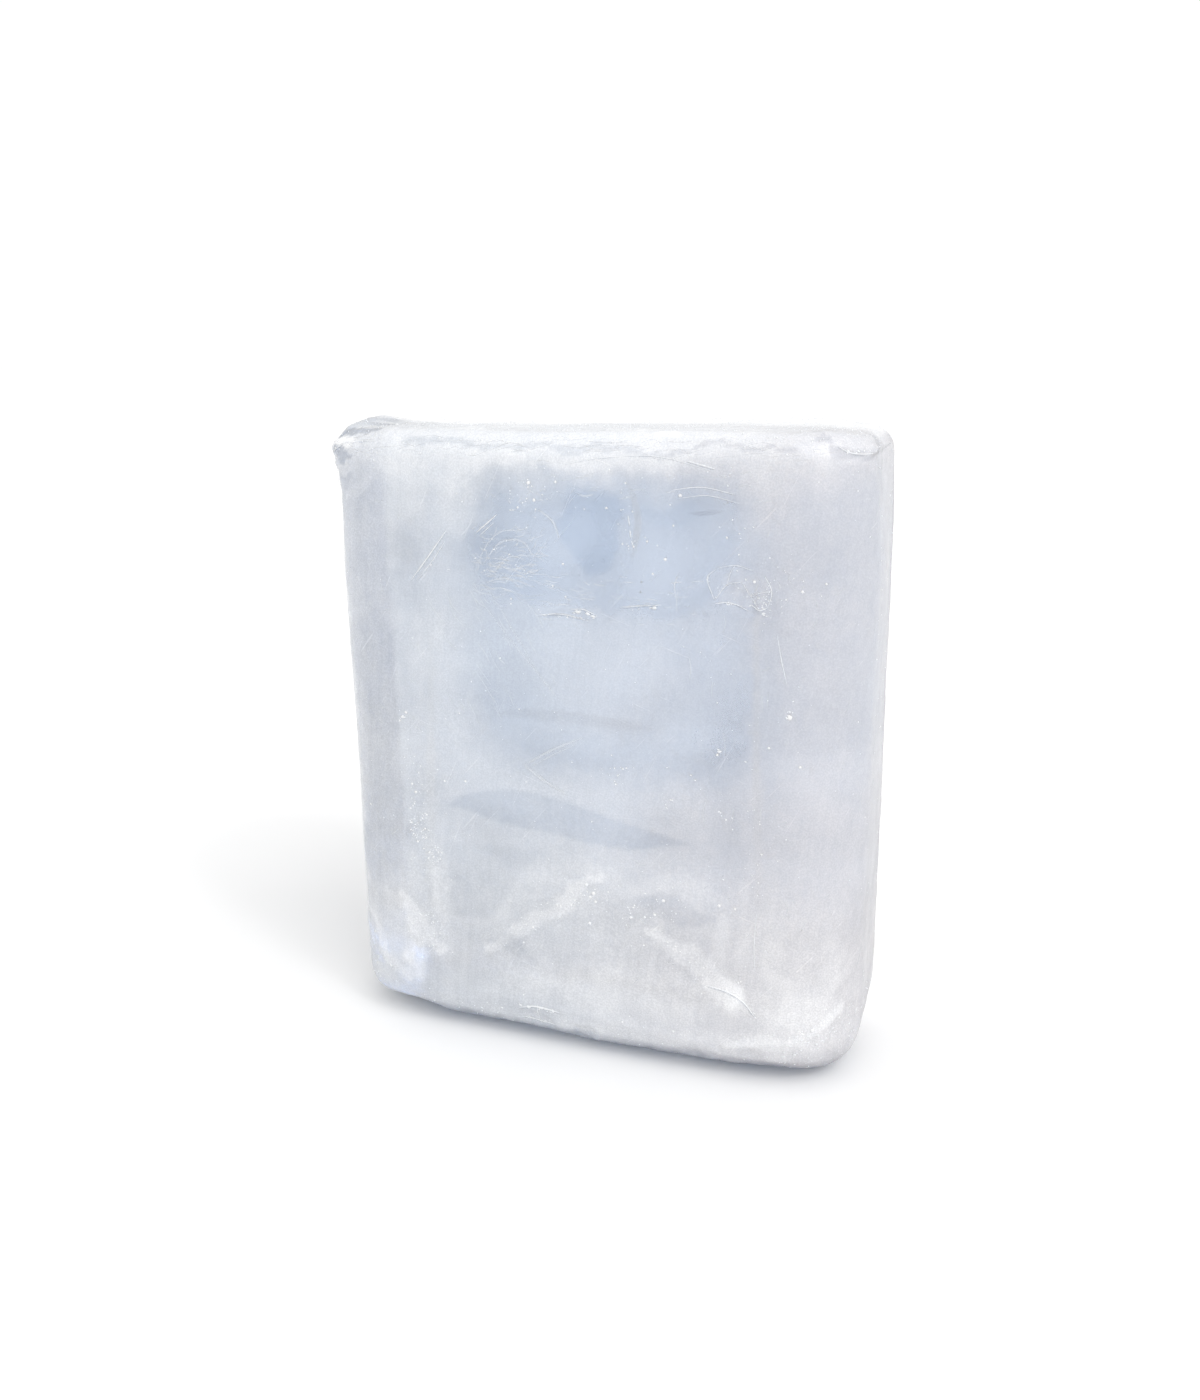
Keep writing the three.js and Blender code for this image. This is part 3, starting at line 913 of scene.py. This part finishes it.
class Surface:
    """Finds places on the block's skin."""

    def __init__(self, piece):
        places = [v.co for v in piece.data.vertices]
        self.tree = BVHTree.FromPolygons(places, [p.vertices for p in piece.data.polygons])

    def seen_from(self, outside, toward):
        """The place and facing where a line from outside first meets the skin."""
        place, normal, _, _ = self.tree.ray_cast(Vector(outside), Vector(toward))
        return place, normal

    def on_front(self, x, z):
        """The place and facing on the front at this x and z."""
        return self.seen_from((x, 2 * LOW.y, z), (0, 1, 0))

    def on_side(self, side, spot):
        """The place and facing on another side, at a spot measured from that side's middle."""
        out, reach, _ = SIDES[side]
        start = Vector(out)
        for i, value in zip([i for i in range(3) if reach[i]], spot):
            start[i] = value + (HIGH.z / 2 if i == 2 else 0)
        return self.seen_from(start, -Vector(out))

    def scattered(self, side, rng, count):
        """Places and facings at random on another side."""
        reach = [r for r in SIDES[side][1] if r]
        hits = [self.on_side(side, rng.uniform(-1, 1, 2) * reach) for _ in range(count)]
        return [hit for hit in hits if hit[0]]


def smooth_line(places, step):
    """A smooth run of points through the given places, about one step apart."""
    places = [np.array(p, float) for p in places]
    padded = [2 * places[0] - places[1]] + places + [2 * places[-1] - places[-2]]
    run = []
    for a, b, c, d in zip(padded, padded[1:], padded[2:], padded[3:]):
        count = max(1, round(float(np.linalg.norm(c - b)) / step))
        for t in np.arange(count) / count:
            bend = (2 * a - 5 * b + 4 * c - d) * t * t + (3 * b - a - 3 * c + d) * t ** 3
            run.append(b + 0.5 * ((c - a) * t + bend))
    return run + [places[-1]]


def found(hits):
    """The hits that met the skin."""
    return [hit for hit in hits if hit[0]]


class Slivers:
    """Many thin slivers, each a low ridge on the skin, tapering to a point at both ends."""

    def __init__(self):
        self.points, self.faces = [], []

    def add(self, hits, width, rise, ragged=0.35):
        """A sliver through places on the skin, given as (place, facing) pairs."""
        first, count = len(self.points), len(hits)
        for i, (place, normal) in enumerate(hits):
            ahead = hits[min(i + 1, count - 1)][0] - hits[max(i - 1, 0)][0]
            rough = 1 + ragged * noise.noise(place / (1.1 * MM))
            taper = math.sin(math.pi * (i + 0.5) / count) ** 0.5
            side = normal.cross(ahead).normalized() * (width / 2 * taper * rough)
            crest = normal * (rise * rough * taper)
            self.points += [place - side, place + crest, place + side, place - crest]
        for i in range(count - 1):
            a, b = first + 4 * i, first + 4 * i + 4
            self.faces += [(a + k, b + k, b + (k + 1) % 4, a + (k + 1) % 4) for k in range(4)]
        last = first + 4 * (count - 1)
        self.faces += [(first, first + 1, first + 2, first + 3), (last + 3, last + 2, last + 1, last)]

    def mesh(self, name):
        """All the slivers as one mesh."""
        mesh = bpy.data.meshes.new(name)
        mesh.from_pydata(self.points, [], self.faces)
        mesh.shade_smooth()
        return mesh


def make_scrapes(surface, bright, painted_shadow_mat):
    """The scrapes' bright lips, and a faint dark sliver of painted shadow along the lower side of each.
    """
    lips, shadow_slivers = Slivers(), Slivers()
    for line, width, rise in SCRAPES.values():
        # The second sliver of each pair is a painted shadow, set just below the lip.
        for slivers, drop, share in ((lips, 0, 1), (shadow_slivers, 0.9, 0.3)):
            places = [(across * HIGH.x, up * HIGH.z - drop * width * MM) for across, up in line]
            hits = [surface.on_front(x, z) for x, z in smooth_line(places, 0.8 * MM)]
            slivers.add(found(hits), width * MM, rise * share * MM)
    add_piece(lips.mesh("scrape_lips"), bright)
    add_piece(shadow_slivers.mesh("scrape_painted_shadows"), painted_shadow_mat)


# Veils inside the ice: the line each follows as (across, up, half width in mm), and its depth in mm.
DARK_VEILS = {
    "upper band": (
        [(-0.36, 0.566, 0.8), (-0.15, 0.572, 2.8), (0.05, 0.570, 3.4), (0.34, 0.566, 0.8)],
        5.0),
    "dark fleck": ([(0.40, 0.885, 0.4), (0.46, 0.886, 1.1), (0.52, 0.890, 0.4)], 1.5),
}
PALE_VEILS = {
    # The two uprights are painted images of the block's back edges seen through the ice, not flaws.
    "left upright": (
        [(-0.53, 0.745, 1.2), (-0.56, 0.50, 2.4), (-0.60, 0.28, 2.6), (-0.61, 0.15, 1.2)],
        4.0),
    "right upright": (
        [(0.62, 0.83, 0.8), (0.635, 0.60, 1.6), (0.65, 0.40, 1.8), (0.655, 0.27, 0.8)],
        4.0),
    "streak": ([(-0.33, 0.172, 1.2), (-0.20, 0.220, 3.0), (-0.02, 0.288, 3.0), (0.08, 0.32, 1.0)], 1.5),
    "disc rim": ([(0.20, 0.93, 0.8), (0.235, 0.875, 1.8), (0.21, 0.81, 1.0)], 2.0),
}


VEIL_STEPS = 10  # across each face of a veil
VEIL_HALF_THICKNESS = 0.3 * MM


def veil_ring(surface, run, i, depth):
    """The points round a veil at one place of its line, and the mark that each point carries."""
    last = len(run) - 1
    x, z, half = run[i]
    ahead = np.array(run[min(i + 1, last)])[:2] - np.array(run[max(i - 1, 0)])[:2]
    beside = np.array((-ahead[1], ahead[0])) / np.linalg.norm(ahead)
    toward_end = min(1.0, 4 * min(i + 0.2, last + 0.2 - i) / len(run))
    points, marks = [], []
    for k in range(2 * VEIL_STEPS):
        v = math.cos(math.pi * k / VEIL_STEPS)
        sheet = math.sin(math.pi * k / VEIL_STEPS)
        spot = np.array((x, z)) + beside * max(half, 0.1 * MM) * v
        place, _ = surface.on_front(*spot)
        points.append((spot[0], place.y + depth * MM - VEIL_HALF_THICKNESS * sheet, spot[1]))
        # Crisp along one rim, the upper one where the line runs to the right, and softer along the other.
        marks.append(toward_end * min(1.0, 3 * (1 - v)) * min(1.0, 1.5 * (1 + v)))
    return points, marks


def tube_faces(first, rings, around):
    """Quads between the rings of a tube whose points start at first, and a cap at each end."""
    faces = []
    for i in range(rings - 1):
        a, b = first + i * around, first + (i + 1) * around
        faces += [(a + k, a + (k + 1) % around, b + (k + 1) % around, b + k) for k in range(around)]
    last = first + (rings - 1) * around
    return faces + [tuple(range(first, first + around))[::-1], tuple(range(last, last + around))]


def veil_mesh(name, surface, veils):
    """Thin closed lenses, each hanging at its depth below the front, with a mark for thickness."""
    points, faces, marks = [], [], []
    for line, depth in veils.values():
        run = smooth_line(front_places(line), 2 * MM)
        faces += tube_faces(len(points), len(run), 2 * VEIL_STEPS)
        for i in range(len(run)):
            ring, ring_marks = veil_ring(surface, run, i, depth)
            points += ring
            marks += ring_marks
    mesh = bpy.data.meshes.new(name)
    mesh.from_pydata(points, [], faces)
    mesh.shade_smooth()
    mesh.attributes.new("veil", "FLOAT", "POINT").data.foreach_set("value", marks)
    return mesh


# Crumbs of crushed ice on the skin: middle, half sizes of the patch in mm, turn, how many, size in mm.
CRUMBS = {
    "gash middle": ((0.020, 0.7385), (2.6, 0.4), 4, 4, 0.7),
    "gash end": ((0.075, 0.7355), (1.6, 0.7), -20, 4, 0.7),
    "gash lip": ((0.00, 0.7305), (8, 0.3), 1, 8, 0.3),
    "short gash": ((0.292, 0.752), (1.8, 0.4), 0, 4, 0.7),
    "short gash left": ((0.232, 0.748), (1.2, 0.4), 0, 2, 0.5),
    "pecked low edge": ((0.53, 0.764), (3.5, 0.4), 3, 6, 0.4),
    "pecked corner": ((0.645, 0.765), (3.8, 3.0), -20, 34, 0.30),
    "pecked right": ((0.665, 0.785), (1.4, 3.4), 0, 12, 0.28),
    "pecked inside": ((0.575, 0.785), (8, 4), -6, 22, 0.22),
    "pecked left": ((0.475, 0.790), (1.5, 2.5), 0, 3, 0.36),
    "above the pecks": ((0.60, 0.862), (3, 5), -30, 5, 0.28),
    "right flecks": ((0.72, 0.80), (6, 7), 0, 5, 0.24),
    "big bead": ((0.740, 0.606), (0.7, 0.4), -30, 2, 0.75),
    "big bead ring": ((0.750, 0.612), (1.0, 1.2), 0, 5, 0.35),
    "right bead": ((0.522, 0.550), (0.5, 0.6), 0, 3, 0.5),
    "left bead": ((-0.655, 0.553), (1.4, 0.8), 10, 5, 0.5),
    "swirl": ((-0.21, 0.815), (13, 9), 20, 14, 0.3),
    "left of the disc": ((-0.14, 0.905), (8, 6), 0, 8, 0.28),
    # Painted highlights: white crumbs for the foot's glints.
    "foot glint": ((-0.16, 0.074), (8, 0.6), -3, 12, 0.6),
    "foot glint low": ((-0.17, 0.044), (8, 0.5), -4, 10, 0.55),
    "foot notch": ((0.03, 0.045), (4, 2), 0, 6, 0.5),
    "flake edge": ((0.93, 0.966), (7, 0.6), -4, 12, 0.45),
    # Painted highlight: crumbs at the end of the crescent.
    "crescent end": ((0.655, 0.132), (2, 1), -30, 4, 0.4),
    "right heel": ((0.86, 0.09), (16, 6), 14, 30, 0.45),
    "left heel": ((-0.86, 0.10), (9, 9), -40, 18, 0.45),
    "lower middle": ((0.17, 0.28), (24, 8), 0, 18, 0.36),
    "lower left": ((-0.60, 0.38), (9, 26), 0, 16, 0.32),
    "left knot": ((-0.620, 0.365), (4, 4), 20, 20, 0.32),
    "left knot below": ((-0.560, 0.320), (2.5, 4), 10, 16, 0.32),
    "left knot foot": ((-0.57, 0.20), (4, 8), 20, 16, 0.36),
    "under the milk": ((0.40, 0.335), (24, 4), 0, 12, 0.3),
    "right of the middle": ((0.45, 0.49), (20, 12), 0, 14, 0.28),
    "whole front": ((0.0, 0.5), (98, 112), 0, 110, 0.26),
}


SIDE_CRUMB = 0.32 * MM


def crumb_places(surface, rng):
    """Where each crumb lies, which way that faces, its size and how it is turned."""
    crumbs = []
    for (across, up), half_sizes, turn, count, size in CRUMBS.values():
        for _ in range(count):
            offset = rng.uniform(-1, 1, 2) * half_sizes * MM
            place, normal = surface.on_front(*patch_place(across, up, turn, offset))
            if place:
                crumbs.append((place, normal, size * MM, math.radians(turn)))
    for side, (_, _, (_, count, _)) in SIDES.items():
        crumbs += [(*hit, SIDE_CRUMB, 0.0) for hit in surface.scattered(side, rng, count)]
    return crumbs


def rough_ball():
    """A plain small ball: its points, and its faces as point numbers."""
    ball = bmesh.new()
    bmesh.ops.create_icosphere(ball, subdivisions=1, radius=1)
    points = [v.co.copy() for v in ball.verts]
    faces = [[v.index for v in face.verts] for face in ball.faces]
    ball.free()
    return points, faces


def make_crumbs(surface, mat):
    """Small rough lumps, flattened where they lie on the skin."""
    rng = np.random.default_rng(21)
    shape, sides = rough_ball()
    points, faces = [], []
    for place, normal, size, turn in crumb_places(surface, rng):
        radius = size * rng.uniform(0.5, 1.3)
        stretch = Vector((rng.uniform(0.8, 1.8), rng.uniform(0.5, 1.0), 0.45)) * radius
        turned = normal.to_track_quat("Z", "Y").to_matrix()
        turned = turned @ Matrix.Rotation(rng.uniform(-0.5, 0.5) + turn, 3, "Z")
        shift = Vector(rng.uniform(-50, 50, 3))
        first = len(points)
        for v in shape:
            lump = v * (1 + 0.45 * noise.noise(v * 1.3 + shift))
            points.append(place + turned @ (lump * stretch))
        faces += [[first + k for k in side] for side in sides]
    mesh = bpy.data.meshes.new("crumbs")
    mesh.from_pydata(points, [], faces)
    mesh.shade_smooth()
    add_piece(mesh, mat)


def make_rubs(surface, mat):
    """Broad low strokes where the skin was rubbed."""
    slivers = Slivers()
    for line, width, rise in RUBS.values():
        places = [(across * HIGH.x, up * HIGH.z) for across, up in line]
        hits = [surface.on_front(x, z) for x, z in smooth_line(places, 1.5 * MM)]
        slivers.add(hits, width * MM, rise * MM, 0.1)
    add_piece(slivers.mesh("rubs"), mat)


def stroke(middle, length, turn, bend):
    """A short bent line in a plane, through its middle."""
    c, s = math.cos(math.radians(turn)), math.sin(math.radians(turn))
    along, beside = np.array([c, s]) * length, np.array([-s, c]) * length * bend
    return [middle + along * t + beside * (1 - 4 * t * t) for t in (-0.5, 0, 0.5)]


def add_scuff(slivers, hits, rng, widths, rises):
    """A sliver along a scuff, its width and rise drawn from these in mm, if it is long enough."""
    hits = found(hits)
    if len(hits) > 2:
        slivers.add(hits, rng.uniform(*widths) * MM, rng.uniform(*rises) * MM)


def make_scuffs(surface, mat):
    """The short fine marks of handling, on the front and then on every other side."""
    rng = np.random.default_rng(11)
    slivers = Slivers()
    for (across, up), half_sizes, count, length, turn, wander in SCUFFS.values():
        for _ in range(count):
            off = rng.uniform(-1, 1, 2) * half_sizes * MM
            middle = np.array((across * HIGH.x, up * HIGH.z)) + off
            size = length * MM * rng.uniform(0.4, 1.4)
            line = stroke(middle, size, turn + wander * rng.uniform(-1, 1), rng.uniform(-0.15, 0.15))
            hits = [surface.on_front(x, z) for x, z in smooth_line(line, 0.9 * MM)]
            add_scuff(slivers, hits, rng, (0.14, 0.34), (0.04, 0.1))
    for side, (_, reach, (count, _, _)) in SIDES.items():
        for _ in range(count):
            middle = rng.uniform(-1, 1, 2) * [r for r in reach if r]
            size = 8 * MM * rng.uniform(0.3, 1.6)
            line = stroke(middle, size, 64 + 22 * rng.normal(), rng.uniform(-0.05, 0.05))
            hits = [surface.on_side(side, spot) for spot in smooth_line(line, 1.2 * MM)]
            add_scuff(slivers, hits, rng, (0.15, 0.4), (0.05, 0.12))
    add_piece(slivers.mesh("scuffs"), mat)


# ---------------------------------------------------------------------------------------------
# Air bubbles

# Bubbles that stand out, near the front: across, up, radius in mm, depth below the skin in mm.
BEADS = [
    (0.748, 0.607, 1.0, 0.6), (0.515, 0.543, 0.6, 0.5), (0.685, 0.561, 0.5, 0.4),
    (-0.640, 0.560, 0.6, 0.4), (-0.668, 0.545, 0.5, 0.4), (-0.634, 0.440, 0.55, 0.3),
    (-0.620, 0.427, 0.6, 0.3), (-0.498, 0.452, 0.5, 0.3), (-0.413, 0.456, 0.5, 0.3),
    (-0.624, 0.341, 0.6, 0.3), (-0.60, 0.33, 0.45, 0.3), (-0.585, 0.35, 0.4, 0.3),
    (-0.115, 0.898, 0.6, 0.3), (-0.134, 0.922, 0.6, 0.3), (-0.039, 0.924, 0.5, 0.3),
    (-0.018, 0.808, 0.5, 0.3), (0.167, 0.494, 0.45, 0.4), (0.155, 0.505, 0.4, 0.4),
    (0.178, 0.507, 0.4, 0.4), (0.160, 0.480, 0.45, 0.4), (0.425, 0.507, 0.4, 0.4),
    (0.44, 0.50, 0.4, 0.4), (0.046, 0.308, 0.6, 0.3), (0.072, 0.295, 0.7, 0.3),
    (0.080, 0.281, 0.6, 0.3), (0.055, 0.242, 0.65, 0.3), (0.211, 0.263, 0.75, 0.3),
    (0.263, 0.267, 0.6, 0.3), (0.300, 0.274, 0.55, 0.3), (0.332, 0.300, 0.65, 0.3),
    (0.225, 0.285, 0.5, 0.3), (0.38, 0.91, 0.6, 0.3), (0.20, 0.925, 0.45, 0.3),
    (0.29, 0.80, 0.5, 0.3), (0.53, 0.305, 0.5, 0.3), (0.585, 0.303, 0.45, 0.3),
    (0.86, 0.11, 0.8, 0.3), (0.90, 0.14, 0.6, 0.3), (0.355, 0.465, 0.45, 0.4),
    (0.34, 0.452, 0.4, 0.4),
]

# Drifts of small bubbles: middle as across and up, half sizes in mm, turn, how many, how large in mm.
DRIFTS = {
    "left of the disc": ((-0.14, 0.90), (10, 8), 0, 24, 0.20),
    "disc rim": ((0.20, 0.86), (3, 16), 0, 24, 0.16),
    "middle": ((0.17, 0.50), (9, 12), 0, 16, 0.16),
    "left column": ((-0.60, 0.40), (7, 34), 3, 60, 0.20),
    "left knot": ((-0.61, 0.365), (6, 6), 0, 40, 0.25),
    "left knot below": ((-0.555, 0.32), (4, 5), 0, 30, 0.25),
    "lower middle": ((0.17, 0.28), (26, 8), -4, 60, 0.22),
    "white streak": ((-0.14, 0.24), (30, 4), 39, 90, 0.17),
    "right cloud": ((0.46, 0.19), (20, 9), -25, 90, 0.17),
    "left cloud": ((-0.63, 0.19), (9, 12), 20, 60, 0.18),
    "heel": ((0.80, 0.10), (24, 7), 12, 110, 0.20),
    "foot": ((0.10, 0.06), (80, 6), 3, 90, 0.18),
    "right line": ((0.64, 0.35), (4, 36), -2, 40, 0.17),
    "right milk": ((0.72, 0.80), (14, 14), 0, 50, 0.16),
    "front": ((0.0, 0.5), (98, 116), 0, 380, 0.16),
}


def random_turn(tree, seed):
    """A turn at random for each point."""
    turn = add_node(tree, "FunctionNodeRandomValue", {"data_type": "FLOAT_VECTOR"}, Seed=seed)
    turn.inputs[1].default_value = (6.28, 6.28, 6.28)
    return turn.outputs[0]


def set_balls(tree, start, end, points, scale):
    """Sets a small ball of few faces on each point, turned at random, all in one plain mesh."""
    ball = add_node(tree, "GeometryNodeMeshIcoSphere", Radius=1.0, Subdivisions=1)
    turn = random_turn(tree, start.outputs["Seed"])
    balls = add_node(tree, "GeometryNodeInstanceOnPoints", Points=points, Instance=ball.outputs[0],
                     Rotation=turn, Scale=scale)
    real = add_node(tree, "GeometryNodeRealizeInstances", Geometry=balls.outputs[0])
    smooth = add_node(tree, "GeometryNodeSetShadeSmooth", Geometry=real.outputs[0])
    done = add_node(tree, "GeometryNodeSetMaterial", Geometry=smooth.outputs[0],
                    Material=start.outputs["Material"])
    tree.links.new(done.outputs[0], end.inputs[0])


GEOMETRY = [("Geometry", "Geometry")]


def beads_tree():
    """Sets a bead on each given point, sized by the point's own size."""
    inputs = [("Size", "Float"), ("Unevenness", "Float"), ("Seed", "Int"), ("Material", "Material")]
    tree, start, end = new_tree("beads_on_points", "GeometryNodeTree", GEOMETRY + inputs, GEOMETRY)
    size = add_node(tree, "GeometryNodeInputNamedAttribute", {"data_type": "FLOAT"}, Name="size")
    seed = start.outputs["Seed"]
    uneven = add_node(tree, "FunctionNodeRandomValue", {"data_type": "FLOAT_VECTOR"}, Seed=seed)
    for i, operation in enumerate(("SUBTRACT", "ADD")):
        limit = arithmetic(tree, operation, 1.0, start.outputs["Unevenness"])
        tree.links.new(limit, uneven.inputs[i])
    sized = arithmetic(tree, "MULTIPLY", size.outputs[0], start.outputs["Size"])
    scale = add_node(tree, "ShaderNodeVectorMath", {"operation": "SCALE"}, Scale=sized)
    tree.links.new(uneven.outputs[0], scale.inputs[0])
    set_balls(tree, start, end, start.outputs["Geometry"], scale.outputs[0])
    return tree


def rime_tree():
    """Scatters grains over a mesh where its rime mark is strong."""
    inputs = [(name, "Float") for name in ("Density", "Smallest", "Largest")]
    inputs += [("Seed", "Int"), ("Material", "Material")]
    tree, start, end = new_tree("rime_on_skin", "GeometryNodeTree", GEOMETRY + inputs, GEOMETRY)
    rime = add_node(tree, "GeometryNodeInputNamedAttribute", {"data_type": "FLOAT"}, Name="rime")
    density = arithmetic(tree, "MULTIPLY", rime.outputs[0], start.outputs["Density"])
    seed = start.outputs["Seed"]
    scatter = add_node(tree, "GeometryNodeDistributePointsOnFaces", Mesh=start.outputs["Geometry"],
                       Density=density, Seed=seed)
    size = add_node(tree, "FunctionNodeRandomValue", {"data_type": "FLOAT"}, Seed=seed)
    tree.links.new(start.outputs["Smallest"], size.inputs[2])
    tree.links.new(start.outputs["Largest"], size.inputs[3])
    narrow, low = (arithmetic(tree, "MULTIPLY", size.outputs[1], share) for share in (0.7, 0.5))
    scale = add_node(tree, "ShaderNodeCombineXYZ", X=size.outputs[1], Y=narrow, Z=low)
    set_balls(tree, start, end, scatter.outputs[0], scale.outputs[0])
    return tree


def grown(name, mesh, tree, mat, **inputs):
    """The plain mesh that a geometry tree makes from a starting mesh, added as a piece."""
    seedling = bpy.data.objects.new(name + "_bed", mesh)
    bpy.context.scene.collection.objects.link(seedling)
    modifier = seedling.modifiers.new("grow", "NODES")
    modifier.node_group = tree
    sockets = {item.name: item.identifier for item in tree.interface.items_tree if item.in_out == "INPUT"}
    for key, value in {**inputs, "Material": mat}.items():
        modifier[sockets[key]] = value
    evaluated = seedling.evaluated_get(bpy.context.evaluated_depsgraph_get())
    result = bpy.data.meshes.new_from_object(evaluated)
    result.name = name
    bpy.data.objects.remove(seedling)
    result.materials.clear()
    return add_piece(result, mat)


BEAD_GROWTH = 1.3
SIDE_BUBBLE = 0.20  # usual radius of the opened bubbles away from the front, in mm
LARGEST_OPENED = 0.7 * MM
DEEP_COUNT = 900


def standing_beads(surface):
    """The place and radius of each bubble that stands out."""
    beads = []
    for across, up, radius, depth in BEADS:
        place, normal = surface.on_front(across * HIGH.x, up * HIGH.z)
        beads.append((place - normal * depth * MM, BEAD_GROWTH * radius * MM))
    return beads


def opened_bubble(place, normal, size, rng):
    """The place and radius of a bubble half sunk in the skin: mostly small, now and then large."""
    radius = size * MM * (0.4 + 0.8 * rng.exponential())
    return place - normal * 0.5 * radius, min(radius, LARGEST_OPENED)


def opened_bubbles(surface, rng):
    """The bubbles that melting has opened: drifts on the front, then some on every other side."""
    bubbles = []
    for (across, up), half_sizes, turn, count, size in DRIFTS.values():
        for _ in range(count):
            angle, reach = rng.uniform(0, 2 * math.pi), rng.uniform() ** 0.6
            offset = np.array((math.cos(angle), math.sin(angle))) * half_sizes * MM * reach
            place, normal = surface.on_front(*patch_place(across, up, turn, offset))
            if place and 4 * MM < place.z < HIGH.z - 6 * MM:
                bubbles.append(opened_bubble(place, normal, size, rng))
    for side, (_, _, (_, _, count)) in SIDES.items():
        hits = surface.scattered(side, rng, count)
        bubbles += [opened_bubble(place, normal, SIDE_BUBBLE, rng) for place, normal in hits]
    return bubbles


def deep_bubbles(rng):
    """The place and radius of each small bubble deep in the ice, clear of the skin."""
    reach = (HIGH.x - 9 * MM, HIGH.y - 9 * MM, HIGH.z / 2 - 12 * MM)
    bubbles = []
    for _ in range(DEEP_COUNT):
        spot = rng.uniform(-1, 1, 3) * reach + (0, 0, HIGH.z / 2)
        bubbles.append((spot, MM * min(0.45, 0.18 + 0.08 * rng.exponential())))
    return bubbles


def make_bubbles(surface, mat):
    """All the air in the ice, as three pieces."""
    rng = np.random.default_rng(5)
    groups = {
        "beads": standing_beads(surface),
        "open_bubbles": opened_bubbles(surface, rng),
        "deep_bubbles": deep_bubbles(rng),
    }
    for name, group in groups.items():
        bed = bpy.data.meshes.new(name + "_bed")
        bed.from_pydata([tuple(place) for place, _ in group], [], [])
        sizes = [size for _, size in group]
        bed.attributes.new("size", "FLOAT", "POINT").data.foreach_set("value", sizes)
        grown(name, bed, beads_tree(), mat, Size=1.0, Unevenness=0.25, Seed=3)


# ---------------------------------------------------------------------------------------------
# Camera, light and floor


CAMERA_PLACE = (0.1496, -0.4323, 0.2802)
CAMERA_YAW, CAMERA_PITCH, CAMERA_ROLL = 19.85, 17.43, -1.02  # degrees: to the right, down, tilted
SENSOR_WIDTH, LENS = 36, 29.78  # mm
LIGHT_FROM = (0.60, -0.28, 0.76)
WHITE = (1, 1, 1, 1)
STUDIO_LIGHT, STUDIO_EXTRA = 0.93, 0.09  # what lights the block, and how much more the camera sees


def make_camera():
    """A camera to the right of the front, a little above the top, tipped down."""
    yaw, pitch, roll = (math.radians(a) for a in (CAMERA_YAW, CAMERA_PITCH, CAMERA_ROLL))
    data = bpy.data.cameras.new("camera")
    data.sensor_width = SENSOR_WIDTH
    data.lens = LENS
    camera = bpy.data.objects.new("camera", data)
    bpy.context.scene.collection.objects.link(camera)
    turn = Matrix.Rotation(yaw, 4, "Z") @ Matrix.Rotation(math.pi / 2 - pitch, 4, "X")
    turn = turn @ Matrix.Rotation(roll, 4, "Z")
    camera.matrix_world = Matrix.Translation(CAMERA_PLACE) @ turn
    bpy.context.scene.camera = camera


def make_light():
    """A wide, soft light high on the right, in front, with a small bright one in its middle."""
    for name, energy, angle in (("soft_key", 1.0, 45), ("bright_key", 0.25, 7)):
        data = bpy.data.lights.new(name, "SUN")
        data.energy = energy
        data.angle = math.radians(angle)
        light = bpy.data.objects.new(name, data)
        bpy.context.scene.collection.objects.link(light)
        light.rotation_euler = Vector(LIGHT_FROM).to_track_quat("Z", "Y").to_euler()


def make_world():
    """A pale studio all round, which the camera sees as plain white."""
    scene = bpy.context.scene
    scene.view_settings.view_transform = "Standard"
    scene.cycles.transparent_max_bounces = 24
    world = bpy.data.worlds.new("studio")
    world.use_nodes = True
    tree = world.node_tree
    seen = tree.nodes.new("ShaderNodeLightPath").outputs["Is Camera Ray"]
    strength = arithmetic(tree, "MULTIPLY_ADD", seen, STUDIO_EXTRA, STUDIO_LIGHT)
    tree.links.new(strength, tree.nodes["Background"].inputs["Strength"])
    tree.nodes["Background"].inputs["Color"].default_value = WHITE
    scene.world = world


def make_floor():
    """A wide pale floor, a hair below the block."""
    reach = 12.0
    mesh = bpy.data.meshes.new("floor")
    corners = [(-reach, -reach), (reach, -reach), (reach, reach), (-reach, reach)]
    mesh.from_pydata([(x, y, -0.1 * MM) for x, y in corners], [], [(0, 1, 2, 3)])
    floor = bpy.data.objects.new("floor", mesh)
    bpy.context.scene.collection.objects.link(floor)
    mat, shader = material("pale_floor")
    shader.inputs["Base Color"].default_value = (0.91, 0.91, 0.91, 1)
    shader.inputs["Roughness"].default_value = 0.9
    mesh.materials.append(mat)


make_camera()
make_light()
make_world()
make_floor()
grain = grain_group()
skin = make_block(grain)
surface = Surface(skin)
crushed = crushed_ice_material("crushed_ice", grain, 0.9)
make_scrapes(surface, crushed, painted_groove_shadow_material())
make_scuffs(surface, crushed_ice_material("scuffed_ice", grain, 0.4))
make_rubs(surface, crushed_ice_material("rubbed_ice", grain, 0.2))
make_crumbs(surface, crushed)
dark = veil_material("dark_veil", (0.38, 0.44, 0.58, 1), 0.15, grain)
pale = veil_material("pale_veil", (0.96, 0.97, 0.98, 1), 0.2, grain)
add_piece(veil_mesh("dark_veils", surface, DARK_VEILS), dark)
add_piece(veil_mesh("pale_veils", surface, PALE_VEILS), pale)
make_bubbles(surface, air_material(grain))
grown("rime", skin.data.copy(), rime_tree(), crushed,
      Density=140000.0, Smallest=0.15 * MM, Largest=0.5 * MM, Seed=4)
